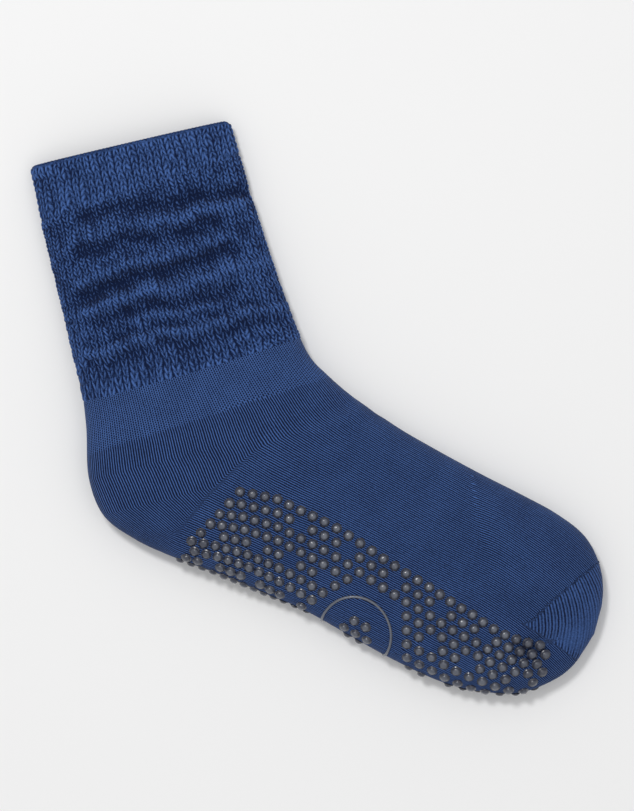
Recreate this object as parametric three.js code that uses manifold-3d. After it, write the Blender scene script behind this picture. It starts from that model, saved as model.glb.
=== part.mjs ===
// A knitted slipper sock that lies flat on its side: an empty tube with an open collar, a turned
// welt at the collar, and a silicone grip print round the sole fold. Millimetres, +Z up. X runs
// from heel to toe and Y from the sole fold to the instep fold, so Z is the thickness of the
// flattened tube, and the plane Z = 0 is the floor that it lies on.

import * as THREE from 'three';
import { mergeVertices } from 'three/addons/utils/BufferGeometryUtils.js';
import Module from 'manifold-3d';

const wasm = await Module();
wasm.setup();

// Driving sizes, in millimetres and degrees
const FOOT_LENGTH = 226; // back of the heel to the tip of the toe
const FOOT_WIDTH = 88; // sole fold to instep fold over the ball
const LEG_LENGTH = 93.6; // middle of the ankle to the collar
const LEG_WIDTH = 86.4; // fold to fold at the collar
const LEG_LEAN = 40; // how far the leg leans back from square to the foot
const THICKNESS = 24; // the laid tube at the heel, its thickest place
const WALL = 1.6; // one layer of the knit
const WELT_WALL = 2.3; // the turned welt, two layers of a thinner knit
const WELT_DEPTH = 21; // how far the welt reaches down inside the collar
const RIM_ROUND = 0.9; // rounding of the collar's outer lip
const TOE_ROUND = 35; // how far back the toe starts to close
const SEAT_GAP = 0.3; // between the knit and the skin of the print
const PRINT_SKIN = 0.4; // the film of silicone that joins the dots
const DOT_DIAMETER = 3.5;
const DOT_HEIGHT = 0.9;
const DOT_PITCH = 5.5; // between dots of a row, measured along the foot
const FLOOR_GAP = 0.3; // under the dots of the underside
const RING_RADIUS = 15.6; // to the middle of the ring's line
const RING_LINE = 1.2;
const RING_HEIGHT = 0.7;
const FOLD_RISE = 1.3; // a slouch fold above the plain leg
const FOLD_SPREAD = 4.6; // half the width of a slouch fold

// Shares that shape every cross-section
const EDGE_SHARE = 0.4; // height of the two folds over the thickness
const FLAT_SHARE = 0.6; // part of the underside that lies flat
const DOME_POWER = 2.3; // 2 would be an ellipse, more is flatter on top
const ANKLE = { along: 0.088, up: 0.918 }; // middle of the ankle, of foot length and width
const SOLE_LIFT_RAMP = [0.02, 0.13]; // past the print, where the underside meets the floor

// Cross-sections of the leg, from the collar down. Heights are shares of the leg's length over the
// ankle, and reaches are shares of half its width.
const LEG_SECTIONS = [
  { backUp: 1.015, backOut: 1.016, frontUp: 0.985, frontOut: 0.986, thick: 0.54, grip: 0.45, steps: 5 },
  { backUp: 0.716, backOut: 1.056, frontUp: 0.706, frontOut: 0.998, thick: 0.62, grip: 0.45, steps: 6 },
  { backUp: 0.417, backOut: 1.067, frontUp: 0.412, frontOut: 1.021, thick: 0.7, grip: 0.45, steps: 5 },
  { backUp: 0.18, backOut: 1.083, frontUp: 0.176, frontOut: 1.056, thick: 0.8, grip: 0.45, steps: 3 },
  { backUp: 0, backOut: 1.095, frontUp: 0, frontOut: 1.095, thick: 0.88, grip: 0.45, steps: 2 },
];

// Cross-sections of the heel and the foot, on to the tip of the toe. Places along the foot are
// shares of its length, heights are shares of its width, and grip is the share of the section that
// the print covers from the sole fold.
const FOOT_SECTIONS = [
  { soleAt: -0.032, soleUp: 0.409, instepAt: 0.266, instepUp: 1.225, thick: 0.96, grip: 0.44, steps: 2 },
  { soleAt: 0.016, soleUp: 0.18, instepAt: 0.286, instepUp: 1.184, thick: 1, grip: 0.43, steps: 2 },
  { soleAt: 0.07, soleUp: 0.052, instepAt: 0.308, instepUp: 1.152, thick: 1, grip: 0.42, steps: 2 },
  { soleAt: 0.144, soleUp: 0.013, instepAt: 0.333, instepUp: 1.13, thick: 1, grip: 0.41, steps: 2 },
  { soleAt: 0.212, soleUp: 0.013, instepAt: 0.361, instepUp: 1.107, thick: 0.98, grip: 0.41, steps: 3 },
  { soleAt: 0.311, soleUp: 0.031, instepAt: 0.407, instepUp: 1.078, thick: 0.95, grip: 0.455, steps: 2 },
  { soleAt: 0.398, soleUp: 0.041, instepAt: 0.456, instepUp: 1.058, thick: 0.93, grip: 0.48, steps: 1 },
  { soleAt: 0.481, soleUp: 0.049, instepAt: 0.505, instepUp: 1.038, thick: 0.92, grip: 0.475, steps: 1 },
  { soleAt: 0.575, soleUp: 0.032, instepAt: 0.575, instepUp: 1.022, thick: 0.92, grip: 0.45, steps: 1 },
  { soleAt: 0.673, soleUp: 0.014, instepAt: 0.675, instepUp: 1.006, thick: 0.92, grip: 0.44, steps: 1 },
  { soleAt: 0.772, soleUp: 0.014, instepAt: 0.766, instepUp: 0.998, thick: 0.92, grip: 0.415, steps: 2 },
  { soleAt: 0.845, soleUp: 0.048, instepAt: 0.841, instepUp: 0.985, thick: 0.88, grip: 0.385, steps: 3 },
  { soleAt: 0.915, soleUp: 0.12, instepAt: 0.907, instepUp: 0.943, thick: 0.84, grip: 0.36, steps: 2 },
  { soleAt: 0.96, soleUp: 0.227, instepAt: 0.955, instepUp: 0.846, thick: 0.8, grip: 0.26, steps: 2 },
  { soleAt: 0.987, soleUp: 0.341, instepAt: 0.985, instepUp: 0.716, thick: 0.78, grip: 0.25, steps: 3 },
  { soleAt: 1, soleUp: 0.534, instepAt: 1, instepUp: 0.534, thick: 0.76, grip: 0.25, steps: 0 },
];

// Slouch folds across the leg: height at the back and at the front edge as shares of the leg's
// length, and how strong each one is.
const SLOUCH_FOLDS = [
  { back: 0.63, front: 0.61, strength: 0.8 },
  { back: 0.47, front: 0.455, strength: 1 },
  { back: 0.33, front: 0.32, strength: 0.9 },
  { back: 0.14, front: 0.12, strength: 0.8 },
];

// Columns of the print. Each starts at its place on the reference row and slides along by its slide
// on every further row, both in pitches. Round is its way round from the sole fold on the reference
// row, as a share of the foot's width, and step is the gap of the rows, in pitches.
const PRINT_COLUMNS = [
  { column: -20, place: -18.55, slide: 0.024, round: 0.245, step: 0.64 },
  { column: -14, place: -13.15, slide: 0.024, round: 0.245, step: 0.64 },
  { column: -11, place: -10.44, slide: 0.021, round: 0.292, step: 0.74 },
  { column: -8, place: -7.89, slide: 0.012, round: 0.332, step: 0.86 },
  { column: -5, place: -5.14, slide: -0.034, round: 0.351, step: 0.97 },
  { column: -1, place: -1.2, slide: -0.064, round: 0.333, step: 1 },
  { column: 4, place: 4.12, slide: -0.046, round: 0.312, step: 0.967 },
  { column: 8, place: 8.31, slide: -0.004, round: 0.301, step: 0.955 },
  { column: 12, place: 12.39, slide: 0.084, round: 0.265, step: 0.982 },
  { column: 15, place: 15.45, slide: 0.151, round: 0.21, step: 0.978 },
  { column: 18, place: 18.34, slide: 0.189, round: 0.168, step: 0.955 },
];
const FANNED_ROWS = 6; // rows from the reference row to the fold, which fan out as the columns say
const EVEN_STEP = 0.96; // gap of the rows past the fold, in pitches
const PRINT_START_ROW = 4; // the foot section where the print begins
const PRINT_END_ROW = 13; // the foot section just past its last dots
const FIRST_ROW = -2;
const LAST_ROW = 12;
const MIDDLE_DOT = 0.5; // where the columns are counted from, of the foot's length
const FOLD_RADIUS = 4; // of the sole fold, as the print goes round it
const EDGE_MARGIN = 0.4; // print left outside the outermost dots
const START_MARGIN = 0.14; // stations left bare at the print's heel end
const END_MARGIN = 0.35; // and at its toe end
const SEAT_SHARE = 0.3; // how far the feet of the dots stand in the skin, of its thickness

// Dots that the pattern leaves out, by row, counted as the columns are
const LEFT_OUT = {
  '-1': [-3, 1, 5, 9, 13],
  2: [-11, -7, -4, -1, 8, 11, 15],
  5: [-12, -8, -4, 8, 12, 16],
  8: [-14, -10, -6, -2, 6, 10, 14],
  11: [-13, -9, -5, -1, 3, 7, 11],
};

// The ring print: its middle as shares of the foot's length, and round from the fold
const RING_AT = 0.591;
const RING_ROUND_FOLD = 4.2;
const RING_CLEARANCE = 5.6; // from the ring's line to the middle of the nearest dot
const RING_WINDOW = 3; // from the ring's line to the edge of its own skin
const RING_DOTS = 6; // round the dot in its middle

// Facets
const OUTER_COLUMNS = { sole: [0.008, 0.04, 0.12, 0.3, 0.6], instep: [0.008, 0.04, 0.12, 0.4, 0.6] };
const INNER_COLUMNS = { sole: [0.03, 0.13, 0.42], instep: [0.03, 0.13, 0.42] };
const RING_FACETS = 38;
const DOT_FACETS = 5;
const PUNCH_SHARES = [1, 0.8, 0.6, 0.4, 0.2]; // loops of the punch, of its radius
const MOUTH_REACH = 10; // how far the inner form is drawn out past the rim
const NUDGE = 0.004; // step between the points that a slope is taken from
const HALVINGS = 40; // of a span of stations, to find one by halving

const smooth = (low, high, value) => THREE.MathUtils.smoothstep(value, low, high);
const legTilt = THREE.MathUtils.degToRad(LEG_LEAN);
const legUp = new THREE.Vector2(-Math.sin(legTilt), Math.cos(legTilt));
const legAcross = new THREE.Vector2(Math.cos(legTilt), Math.sin(legTilt));
const ankle = new THREE.Vector2(ANKLE.along * FOOT_LENGTH, ANKLE.up * FOOT_WIDTH);
const printHeight = SEAT_GAP + PRINT_SKIN + DOT_HEIGHT;
const seatInSkin = SEAT_GAP + PRINT_SKIN * SEAT_SHARE;
const ringAlong = RING_AT * FOOT_LENGTH;

function legPlace(up, out) {
  const place = ankle.clone();
  place.addScaledVector(legUp, up * LEG_LENGTH);
  return place.addScaledVector(legAcross, (out * LEG_WIDTH) / 2);
}

// Every section as the two ends of its chord, from the back or sole fold to the front or instep fold
const sections = [
  ...LEG_SECTIONS.map((row) => ({
    sole: legPlace(row.backUp, -row.backOut),
    instep: legPlace(row.frontUp, row.frontOut),
    thick: row.thick * THICKNESS,
    grip: row.grip,
    steps: row.steps,
  })),
  ...FOOT_SECTIONS.map((row) => ({
    sole: new THREE.Vector2(row.soleAt * FOOT_LENGTH, row.soleUp * FOOT_WIDTH),
    instep: new THREE.Vector2(row.instepAt * FOOT_LENGTH, row.instepUp * FOOT_WIDTH),
    thick: row.thick * THICKNESS,
    grip: row.grip,
    steps: row.steps,
  })),
];
const lastSection = sections.length - 1;
const firstFoot = LEG_SECTIONS.length;
const printStart = firstFoot + PRINT_START_ROW;
const printEnd = firstFoot + PRINT_END_ROW;

function foldCurve(side) {
  const points = sections.map((section) => new THREE.Vector3(section[side].x, section[side].y, 0));
  return new THREE.CatmullRomCurve3(points, false, 'centripetal');
}
const soleCurve = foldCurve('sole');
const instepCurve = foldCurve('instep');

function between(rows, station, column) {
  const low = Math.min(Math.floor(station), rows.length - 2);
  return THREE.MathUtils.lerp(rows[low][column], rows[low + 1][column], station - low);
}

// One section at any station, which counts the rows of the two tables
function sectionAt(station) {
  const sole = soleCurve.getPoint(station / lastSection);
  const instep = instepCurve.getPoint(station / lastSection);
  const tip = sections[lastSection].sole.x;
  const closing = THREE.MathUtils.clamp(((sole.x + instep.x) / 2 - tip + TOE_ROUND) / TOE_ROUND, 0, 1);
  return {
    sole,
    instep,
    thick: between(sections, station, 'thick'),
    grip: between(sections, station, 'grip'),
    open: station > firstFoot ? Math.sqrt(1 - closing * closing) : 1,
  };
}

// Slouch folds are ridges on the upper face of the leg
function slouch(place, upness) {
  const fromAnkle = place.clone().sub(ankle);
  const height = fromAnkle.dot(legUp);
  const across = THREE.MathUtils.clamp(fromAnkle.dot(legAcross) / LEG_WIDTH + 0.5, 0, 1);
  let rise = 0;
  for (const fold of SLOUCH_FOLDS) {
    const middle = THREE.MathUtils.lerp(fold.back, fold.front, across) * LEG_LENGTH;
    rise += fold.strength * Math.exp(-(((height - middle) / FOLD_SPREAD) ** 2));
  }
  return rise * FOLD_RISE * upness;
}

// The underside is raised over the print, so that its dots hang just clear of the floor
function soleLift(station, share, grip) {
  const along = smooth(printStart - 1, printStart - 0.2, station);
  const across = 1 - smooth(grip + SOLE_LIFT_RAMP[0], grip + SOLE_LIFT_RAMP[1], share);
  return (printHeight + FLOOR_GAP) * along * across;
}

// A point of the tube's outer surface. The angle is 0 at the sole fold, rises over the upper face to
// 180 degrees at the instep fold, and is negative on the underside.
function surfacePoint(station, angle, folded = true) {
  const section = sectionAt(station);
  const across = -Math.cos(angle);
  const share = (across + 1) / 2;
  const place = new THREE.Vector2(section.sole.x, section.sole.y);
  place.lerp(new THREE.Vector2(section.instep.x, section.instep.y), share);
  const edge = EDGE_SHARE * section.thick;
  const reach = Math.min(Math.abs(across), 1);
  if (Math.sin(angle) >= 0) {
    const dome = (1 - reach ** DOME_POWER) ** (1 / DOME_POWER);
    const rise = folded && station < firstFoot ? slouch(place, dome * dome) : 0;
    return new THREE.Vector3(place.x, place.y, edge + (section.thick - edge) * section.open * dome + rise);
  }
  const corner = Math.max(0, (reach - FLAT_SHARE) / (1 - FLAT_SHARE));
  const drop = (edge - soleLift(station, share, section.grip)) * section.open;
  return new THREE.Vector3(place.x, place.y, edge - drop * Math.sqrt(1 - corner * corner));
}

// The same point moved out of the surface, or into it where the distance is negative
function offsetPoint(station, angle, distance, folded = false) {
  const low = Math.max(station - NUDGE, 0);
  const high = Math.min(station + NUDGE, lastSection - NUDGE);
  const along = surfacePoint(high, angle, false).sub(surfacePoint(low, angle, false));
  const round = surfacePoint(station, angle + NUDGE, false);
  round.sub(surfacePoint(station, angle - NUDGE, false));
  const normal = along.cross(round).normalize();
  return surfacePoint(station, angle, folded).addScaledVector(normal, distance);
}

// Angles of the facets' columns at a station, which stand as shares of the way from each fold to the
// print's edge
function columnAngles(station, columns) {
  const { grip } = sectionAt(station);
  const nearSole = [...columns.sole, 1].map((share) => share * grip);
  const nearInstep = columns.instep.map((share) => 1 - share * (1 - grip)).reverse();
  const upper = [...nearSole, ...nearInstep].map((share) => Math.acos(1 - 2 * share));
  return [0, ...upper, Math.PI, ...upper.map((angle) => -angle).reverse()];
}

// Faces between rings of equal count
function sideFaces(rings) {
  const count = rings[0].length;
  const faces = [];
  rings.slice(1).forEach((_, index) => {
    for (let k = 0; k < count; k += 1) {
      const a = index * count + k;
      const b = index * count + ((k + 1) % count);
      faces.push([a, b, b + count], [a, b + count, a + count]);
    }
  });
  return faces;
}

// A closed skin over rings, with a fan on the first ring and on the last or on a tip
function closedSkin(rings, tip = null) {
  const count = rings[0].length;
  const points = rings.flat();
  const faces = sideFaces(rings);
  const lastStart = points.length - count;
  const end = points.push(tip ?? middleOf(rings[rings.length - 1])) - 1;
  const start = points.push(middleOf(rings[0])) - 1;
  for (let k = 0; k < count; k += 1) {
    const next = (k + 1) % count;
    faces.push([lastStart + k, lastStart + next, end], [next, k, start]);
  }
  return solidFrom(points, faces);
}

// A closed film from rows of its lower and its upper face
function closedFilm(lower, upper) {
  const rings = lower.map((row, index) => [...row, ...upper[index].slice().reverse()]);
  const points = rings.flat();
  const faces = sideFaces(rings);
  const count = rings[0].length;
  const lastStart = points.length - count;
  for (let k = 0; k < count / 2 - 1; k += 1) {
    const across = count - 1 - k;
    faces.push([k + 1, k, across], [k + 1, across, across - 1]);
    faces.push([lastStart + k, lastStart + k + 1, lastStart + across]);
    faces.push([lastStart + k + 1, lastStart + across - 1, lastStart + across]);
  }
  return solidFrom(points, faces);
}

function middleOf(ring) {
  const middle = new THREE.Vector3();
  ring.forEach((point) => middle.add(point));
  return middle.divideScalar(ring.length);
}

// A manifold from points and faces, turned outward
function solidFrom(points, faces) {
  const geometry = new THREE.BufferGeometry();
  geometry.setAttribute('position', new THREE.Float32BufferAttribute(points.flatMap((p) => p.toArray()), 3));
  geometry.setIndex(faces.flat());
  const merged = mergeVertices(geometry, 1e-5);
  const mesh = { numProp: 3, vertProperties: merged.attributes.position.array, triVerts: merged.index.array };
  if (signedVolume(mesh) < 0) {
    for (let k = 0; k < mesh.triVerts.length; k += 3) {
      [mesh.triVerts[k], mesh.triVerts[k + 1]] = [mesh.triVerts[k + 1], mesh.triVerts[k]];
    }
  }
  mesh.triVerts = Uint32Array.from(mesh.triVerts);
  return new wasm.Manifold(new wasm.Mesh(mesh));
}

function signedVolume({ vertProperties, triVerts }) {
  const corner = (index) => new THREE.Vector3().fromArray(vertProperties, index * 3);
  let volume = 0;
  for (let k = 0; k < triVerts.length; k += 3) {
    const [a, b, c] = [0, 1, 2].map((j) => corner(triVerts[k + j]));
    volume += a.dot(b.cross(c)) / 6;
  }
  return volume;
}

function stationsBetween(first, last, every = 1) {
  const stations = [];
  for (let row = first; row < last; row += 1) {
    const steps = Math.max(1, Math.round(sections[row].steps / every));
    for (let k = 0; k < steps; k += 1) {
      stations.push(row + k / steps);
    }
  }
  return stations;
}

// The station up to which something holds, between two others
function lastWhere(holds, first, last) {
  let low = first;
  let high = last;
  for (let k = 0; k < HALVINGS; k += 1) {
    const middle = (low + high) / 2;
    if (holds(middle)) {
      low = middle;
    } else {
      high = middle;
    }
  }
  return low;
}

// The station at a distance down the leg from the collar
function stationDownLeg(distance) {
  const collar = middleOfSection(0);
  return lastWhere((station) => middleOfSection(station).distanceTo(collar) < distance, 0, firstFoot - 1);
}

function middleOfSection(station) {
  const { sole, instep } = sectionAt(station);
  return sole.clone().add(instep).divideScalar(2);
}

// The knitted tube: its outer form less its inner form
function knittedSock() {
  const ring = (station, distance, columns, folded) =>
    columnAngles(station, columns).map((angle) => offsetPoint(station, angle, distance, folded));
  const lip = stationDownLeg(RIM_ROUND);
  const outerStations = stationsBetween(0, lastSection).slice(1);
  const outerRings = [
    ring(0, -RIM_ROUND, OUTER_COLUMNS, true),
    ring(lip, 0, OUTER_COLUMNS, true),
    ...outerStations.map((station) => ring(station, 0, OUTER_COLUMNS, true)),
  ];
  const tip = surfacePoint(lastSection, 0);
  const outer = closedSkin(outerRings, tip);

  const welt = stationDownLeg(WELT_DEPTH);
  const step = stationDownLeg(WELT_DEPTH + WELT_WALL - WALL);
  const innerStations = stationsBetween(0, lastSection, 2).filter((station) => station > step + 0.1);
  const mouth = ring(0, -WELT_WALL, INNER_COLUMNS, false);
  const beyond = new THREE.Vector3(legUp.x, legUp.y, 0).multiplyScalar(MOUTH_REACH);
  const innerRings = [
    mouth.map((point) => point.clone().add(beyond)),
    mouth,
    ring(welt, -WELT_WALL, INNER_COLUMNS, false),
    ring(step, -WALL, INNER_COLUMNS, false),
    ...innerStations.map((station) => ring(station, -WALL, INNER_COLUMNS, false)),
  ];
  const innerTip = tip.clone().sub(new THREE.Vector3(WALL, 0, 0));
  return outer.subtract(closedSkin(innerRings, innerTip));
}

// Where a point of the laid sock lies on the tube: its station, and its angle on the upper face
function locate(x, y) {
  const isPast = (station) => {
    const { sole, instep } = sectionAt(station);
    return (instep.x - sole.x) * (y - sole.y) < (instep.y - sole.y) * (x - sole.x);
  };
  const station = lastWhere(isPast, firstFoot, lastSection - NUDGE);
  const { sole, instep } = sectionAt(station);
  const share = Math.hypot(x - sole.x, y - sole.y) / sole.distanceTo(instep);
  return { station, share, angle: Math.acos(1 - 2 * Math.min(share, 1)) };
}

function soleFoldHeight(x) {
  const isShort = (station) => soleCurve.getPoint(station / lastSection).x < x;
  return soleCurve.getPoint(lastWhere(isShort, firstFoot, lastSection - NUDGE) / lastSection).y;
}

// How far in from the sole fold something lies that is a given way round it
const roundTheFold = (Math.PI / 2) * FOLD_RADIUS;
function insetOf(way) {
  return way < roundTheFold
    ? FOLD_RADIUS * (1 - Math.cos(way / FOLD_RADIUS))
    : way - roundTheFold + FOLD_RADIUS;
}

// A place on the sole: along the foot, and round from the fold, positive on the upper face
function solePlace(along, round) {
  const place = locate(along, soleFoldHeight(along) + insetOf(Math.abs(round)));
  return { ...place, angle: round < 0 ? -place.angle : place.angle };
}

function solePoint(along, round, distance) {
  const { station, angle } = solePlace(along, round);
  return offsetPoint(station, angle, distance);
}

// The film of the print, on the facets of the tube itself
function printSkin() {
  const stations = [...stationsBetween(printStart, printEnd), printEnd];
  const edgeColumn = OUTER_COLUMNS.sole.length + 1;
  const layer = (distance) =>
    stations.map((station) => {
      const angles = columnAngles(station, OUTER_COLUMNS);
      const under = angles.slice(-edgeColumn);
      const over = angles.slice(0, edgeColumn + 1);
      return [...under, ...over].map((angle) => offsetPoint(station, angle, distance));
    });
  const lower = layer(SEAT_GAP);
  const upper = layer(SEAT_GAP + PRINT_SKIN);
  return closedFilm(lower, upper);
}

// One loop of the print in sole places, lifted to a height
function loopAt(along, round, radius, facets, height) {
  return Array.from({ length: facets }, (_, k) => {
    const angle = (2 * Math.PI * k) / facets;
    return solePoint(along + radius * Math.cos(angle), round + radius * Math.sin(angle), height);
  });
}

// A dot is a low faceted dome
function dot(along, round) {
  const base = loopAt(along, round, DOT_DIAMETER / 2, DOT_FACETS, seatInSkin);
  const faces = [];
  for (let k = 0; k < DOT_FACETS; k += 1) {
    faces.push([k, (k + 1) % DOT_FACETS, DOT_FACETS]);
  }
  for (let k = 1; k < DOT_FACETS - 1; k += 1) {
    faces.push([0, k + 1, k]);
  }
  return solidFrom([...base, solePoint(along, round, printHeight)], faces);
}

function ringLine() {
  const loops = [
    [RING_RADIUS - RING_LINE / 2, seatInSkin],
    [RING_RADIUS + RING_LINE / 2, seatInSkin],
    [RING_RADIUS + RING_LINE / 4, SEAT_GAP + PRINT_SKIN + RING_HEIGHT],
    [RING_RADIUS - RING_LINE / 4, SEAT_GAP + PRINT_SKIN + RING_HEIGHT],
  ].map(([radius, height]) => loopAt(ringAlong, RING_ROUND_FOLD, radius, RING_FACETS, height));
  const faces = [];
  for (let side = 0; side < loops.length; side += 1) {
    for (let k = 0; k < RING_FACETS; k += 1) {
      const next = (k + 1) % RING_FACETS;
      const a = side * RING_FACETS;
      const b = ((side + 1) % loops.length) * RING_FACETS;
      faces.push([a + k, b + k, b + next], [a + k, b + next, a + next]);
    }
  }
  return solidFrom(loops.flat(), faces);
}

// A round punch, deep enough to pass right through the print's skin where it goes round the fold
function punch(radius) {
  const below = FOLD_RADIUS / 2;
  const above = printHeight + FOLD_RADIUS / 2;
  const loops = (height) =>
    PUNCH_SHARES.map((share) => loopAt(ringAlong, RING_ROUND_FOLD, radius * share, RING_FACETS, height));
  const over = loops(above);
  const under = loops(-below);
  return closedSkin([...over.reverse(), ...under]);
}

// A value of the print's columns, between the two that stand on either side
function columnValue(column, name) {
  const next = PRINT_COLUMNS.findIndex((entry) => entry.column > column);
  const high = next < 0 ? PRINT_COLUMNS.length - 1 : next;
  const [a, b] = [PRINT_COLUMNS[high - 1], PRINT_COLUMNS[high]];
  return THREE.MathUtils.mapLinear(column, a.column, b.column, a[name], b[name]);
}

// Where a dot stands: along the foot, and round from the sole fold
function dotAt(row, column) {
  const fanned = Math.min(row, FANNED_ROWS);
  const reach = columnValue(column, 'place') + row / 2 + columnValue(column, 'slide') * fanned;
  const steps = fanned * columnValue(column, 'step') + (row - fanned) * EVEN_STEP;
  return {
    along: MIDDLE_DOT * FOOT_LENGTH + DOT_PITCH * reach,
    round: columnValue(column, 'round') * FOOT_WIDTH - steps * DOT_PITCH,
  };
}

// Places of the dots, row by row round the sole
function dotPlaces() {
  const places = [];
  const [firstColumn, lastColumn] = [PRINT_COLUMNS[0].column, PRINT_COLUMNS.at(-1).column];
  for (let row = FIRST_ROW; row <= LAST_ROW; row += 1) {
    for (let column = firstColumn; column <= lastColumn; column += 1) {
      const { along, round } = dotAt(row, column);
      const { station, share } = solePlace(along, round);
      const { sole, instep, grip } = sectionAt(station);
      const spare = (DOT_DIAMETER / 2 + EDGE_MARGIN) / sole.distanceTo(instep);
      const onLength = station > printStart + START_MARGIN && station < printEnd - END_MARGIN;
      const printed = onLength && share < grip - spare;
      const toRing = Math.hypot(along - ringAlong, round - RING_ROUND_FOLD);
      if (printed && toRing > RING_RADIUS + RING_CLEARANCE && !LEFT_OUT[row]?.includes(column)) {
        places.push([along, round]);
      }
    }
  }
  return places;
}

function joined(solids) {
  return wasm.Manifold.union(solids);
}

function part(name, solid, material, offset) {
  const { numProp, vertProperties, triVerts } = solid.getMesh();
  const geometry = new THREE.BufferGeometry();
  geometry.setAttribute('position', new THREE.Float32BufferAttribute(vertProperties, numProp));
  geometry.setIndex(Array.from(triVerts));
  geometry.computeVertexNormals();
  const mesh = new THREE.Mesh(geometry, new THREE.MeshStandardMaterial(material));
  mesh.name = name;
  mesh.position.copy(offset);
  return mesh;
}

const skin = printSkin();
const dots = dotPlaces().map(([along, round]) => dot(along, round));
const dotPrint = joined([skin.subtract(punch(RING_RADIUS + RING_WINDOW)), ...dots]);
const markTurns = Array.from({ length: RING_DOTS }, (_, k) => ((2 * Math.PI) / RING_DOTS) * k);
const mark = [[0, 0], ...markTurns.map((turn) => [DOT_PITCH, turn])];
const markDots = mark.map(([reach, turn]) =>
  dot(ringAlong + reach * Math.cos(turn), RING_ROUND_FOLD + reach * Math.sin(turn)));
const ringSkin = skin.intersect(punch(RING_RADIUS + RING_WINDOW - SEAT_GAP));
const ringPrint = joined([ringSkin, ringLine(), ...markDots]);
const sock = knittedSock();

// The origin is under the middle of everything that is built
const box = new THREE.Box3();
for (const solid of [sock, dotPrint, ringPrint]) {
  const { min, max } = solid.boundingBox();
  box.expandByPoint(new THREE.Vector3(...min));
  box.expandByPoint(new THREE.Vector3(...max));
}
const offset = new THREE.Vector3((box.min.x + box.max.x) / -2, (box.min.y + box.max.y) / -2, 0);

const slipperSock = new THREE.Group();
slipperSock.add(part('sock_knit', sock, { color: 0x2f4470, roughness: 0.9, metalness: 0 }, offset));
slipperSock.add(part('dot_print', dotPrint, { color: 0x50555f, roughness: 0.45, metalness: 0 }, offset));
slipperSock.add(part('ring_print', ringPrint, { color: 0x50555f, roughness: 0.45, metalness: 0 }, offset));

export default slipperSock;
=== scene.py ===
"""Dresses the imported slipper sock: coarse knit leg, fine knit foot, silicone grip print, studio."""

import logging
import math
from dataclasses import dataclass, field
from enum import Enum
from typing import Any

import bpy
import numpy as np
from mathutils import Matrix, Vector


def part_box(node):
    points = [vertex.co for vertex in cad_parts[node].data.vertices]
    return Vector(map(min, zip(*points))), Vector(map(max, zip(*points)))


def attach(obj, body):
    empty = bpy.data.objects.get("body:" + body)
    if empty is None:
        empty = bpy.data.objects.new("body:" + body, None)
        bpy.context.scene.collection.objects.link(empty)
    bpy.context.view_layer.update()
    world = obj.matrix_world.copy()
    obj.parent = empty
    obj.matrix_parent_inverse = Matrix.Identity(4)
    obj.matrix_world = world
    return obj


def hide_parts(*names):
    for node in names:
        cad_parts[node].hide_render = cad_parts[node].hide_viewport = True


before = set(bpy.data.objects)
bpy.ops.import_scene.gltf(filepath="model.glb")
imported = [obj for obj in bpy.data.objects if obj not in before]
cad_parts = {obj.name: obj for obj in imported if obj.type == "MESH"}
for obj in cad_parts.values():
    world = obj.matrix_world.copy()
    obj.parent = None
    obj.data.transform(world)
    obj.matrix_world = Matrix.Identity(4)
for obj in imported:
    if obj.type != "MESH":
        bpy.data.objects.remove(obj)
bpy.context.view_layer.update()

BODY = "root"
MM = 0.001
TURN = 2 * math.pi
QUARTER = math.pi / 2
UNEVEN_TABLE = (97, 193)
UPPER_FADE = (-0.25, 0.35)
LINING_FADE = (0.15, 0.6)
LEAST_LENGTH = 1e-9
NOISE_LOW, NOISE_HIGH = 0.3, 0.7
CLOUD_SWING = 0.07
COTTON_SPECULAR = 0.15

log = logging.getLogger("slipper_sock")


def linear(colour: str) -> tuple[float, float, float, float]:
    """Turns an sRGB hex colour to linear values.

    Args:
        colour: six hex digits after a hash sign.

    Returns:
        Linear red, green and blue, and full alpha.
    """
    values = [int(colour[k : k + 2], 16) / 255 for k in (1, 3, 5)]
    toned = [v / 12.92 if v <= 0.04045 else ((v + 0.055) / 1.055) ** 2.4 for v in values]
    return (*toned, 1.0)


def smooth_step(low: float, high: float, value: np.ndarray) -> np.ndarray:
    """Rises smoothly from 0 at low to 1 at high.

    Args:
        low: the value where the rise starts.
        high: the value where it ends.
        value: what is looked up.

    Returns:
        Shares from 0 to 1.
    """
    share = np.clip((value - low) / (high - low), 0.0, 1.0)
    return share * share * (3 - 2 * share)


def wobble(first: np.ndarray, second: np.ndarray, seed: int) -> np.ndarray:
    """Gives soft unevenness over two counted ways, as hand-fed yarn has.

    Args:
        first: first way, in steps of the unevenness.
        second: second way.
        seed: which pattern.

    Returns:
        Values between -1 and 1.
    """
    rows, columns = UNEVEN_TABLE
    table = np.random.default_rng(seed).uniform(-1, 1, UNEVEN_TABLE)
    i, j = np.floor(first).astype(int), np.floor(second).astype(int)
    fi, fj = smooth_step(0, 1, first - i), smooth_step(0, 1, second - j)
    low = blend(table[i % rows, j % columns], table[i % rows, (j + 1) % columns], fj)
    high = blend(table[(i + 1) % rows, j % columns], table[(i + 1) % rows, (j + 1) % columns], fj)
    return blend(low, high, fi)


def blend(low: Any, high: Any, share: Any) -> Any:
    """Mixes two values, all of low at share 0 and all of high at share 1."""
    return low + (high - low) * share


def unit(vectors: np.ndarray) -> np.ndarray:
    """Brings vectors to a length of one."""
    return vectors / np.maximum(np.linalg.norm(vectors, axis=-1, keepdims=True), LEAST_LENGTH)


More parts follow.
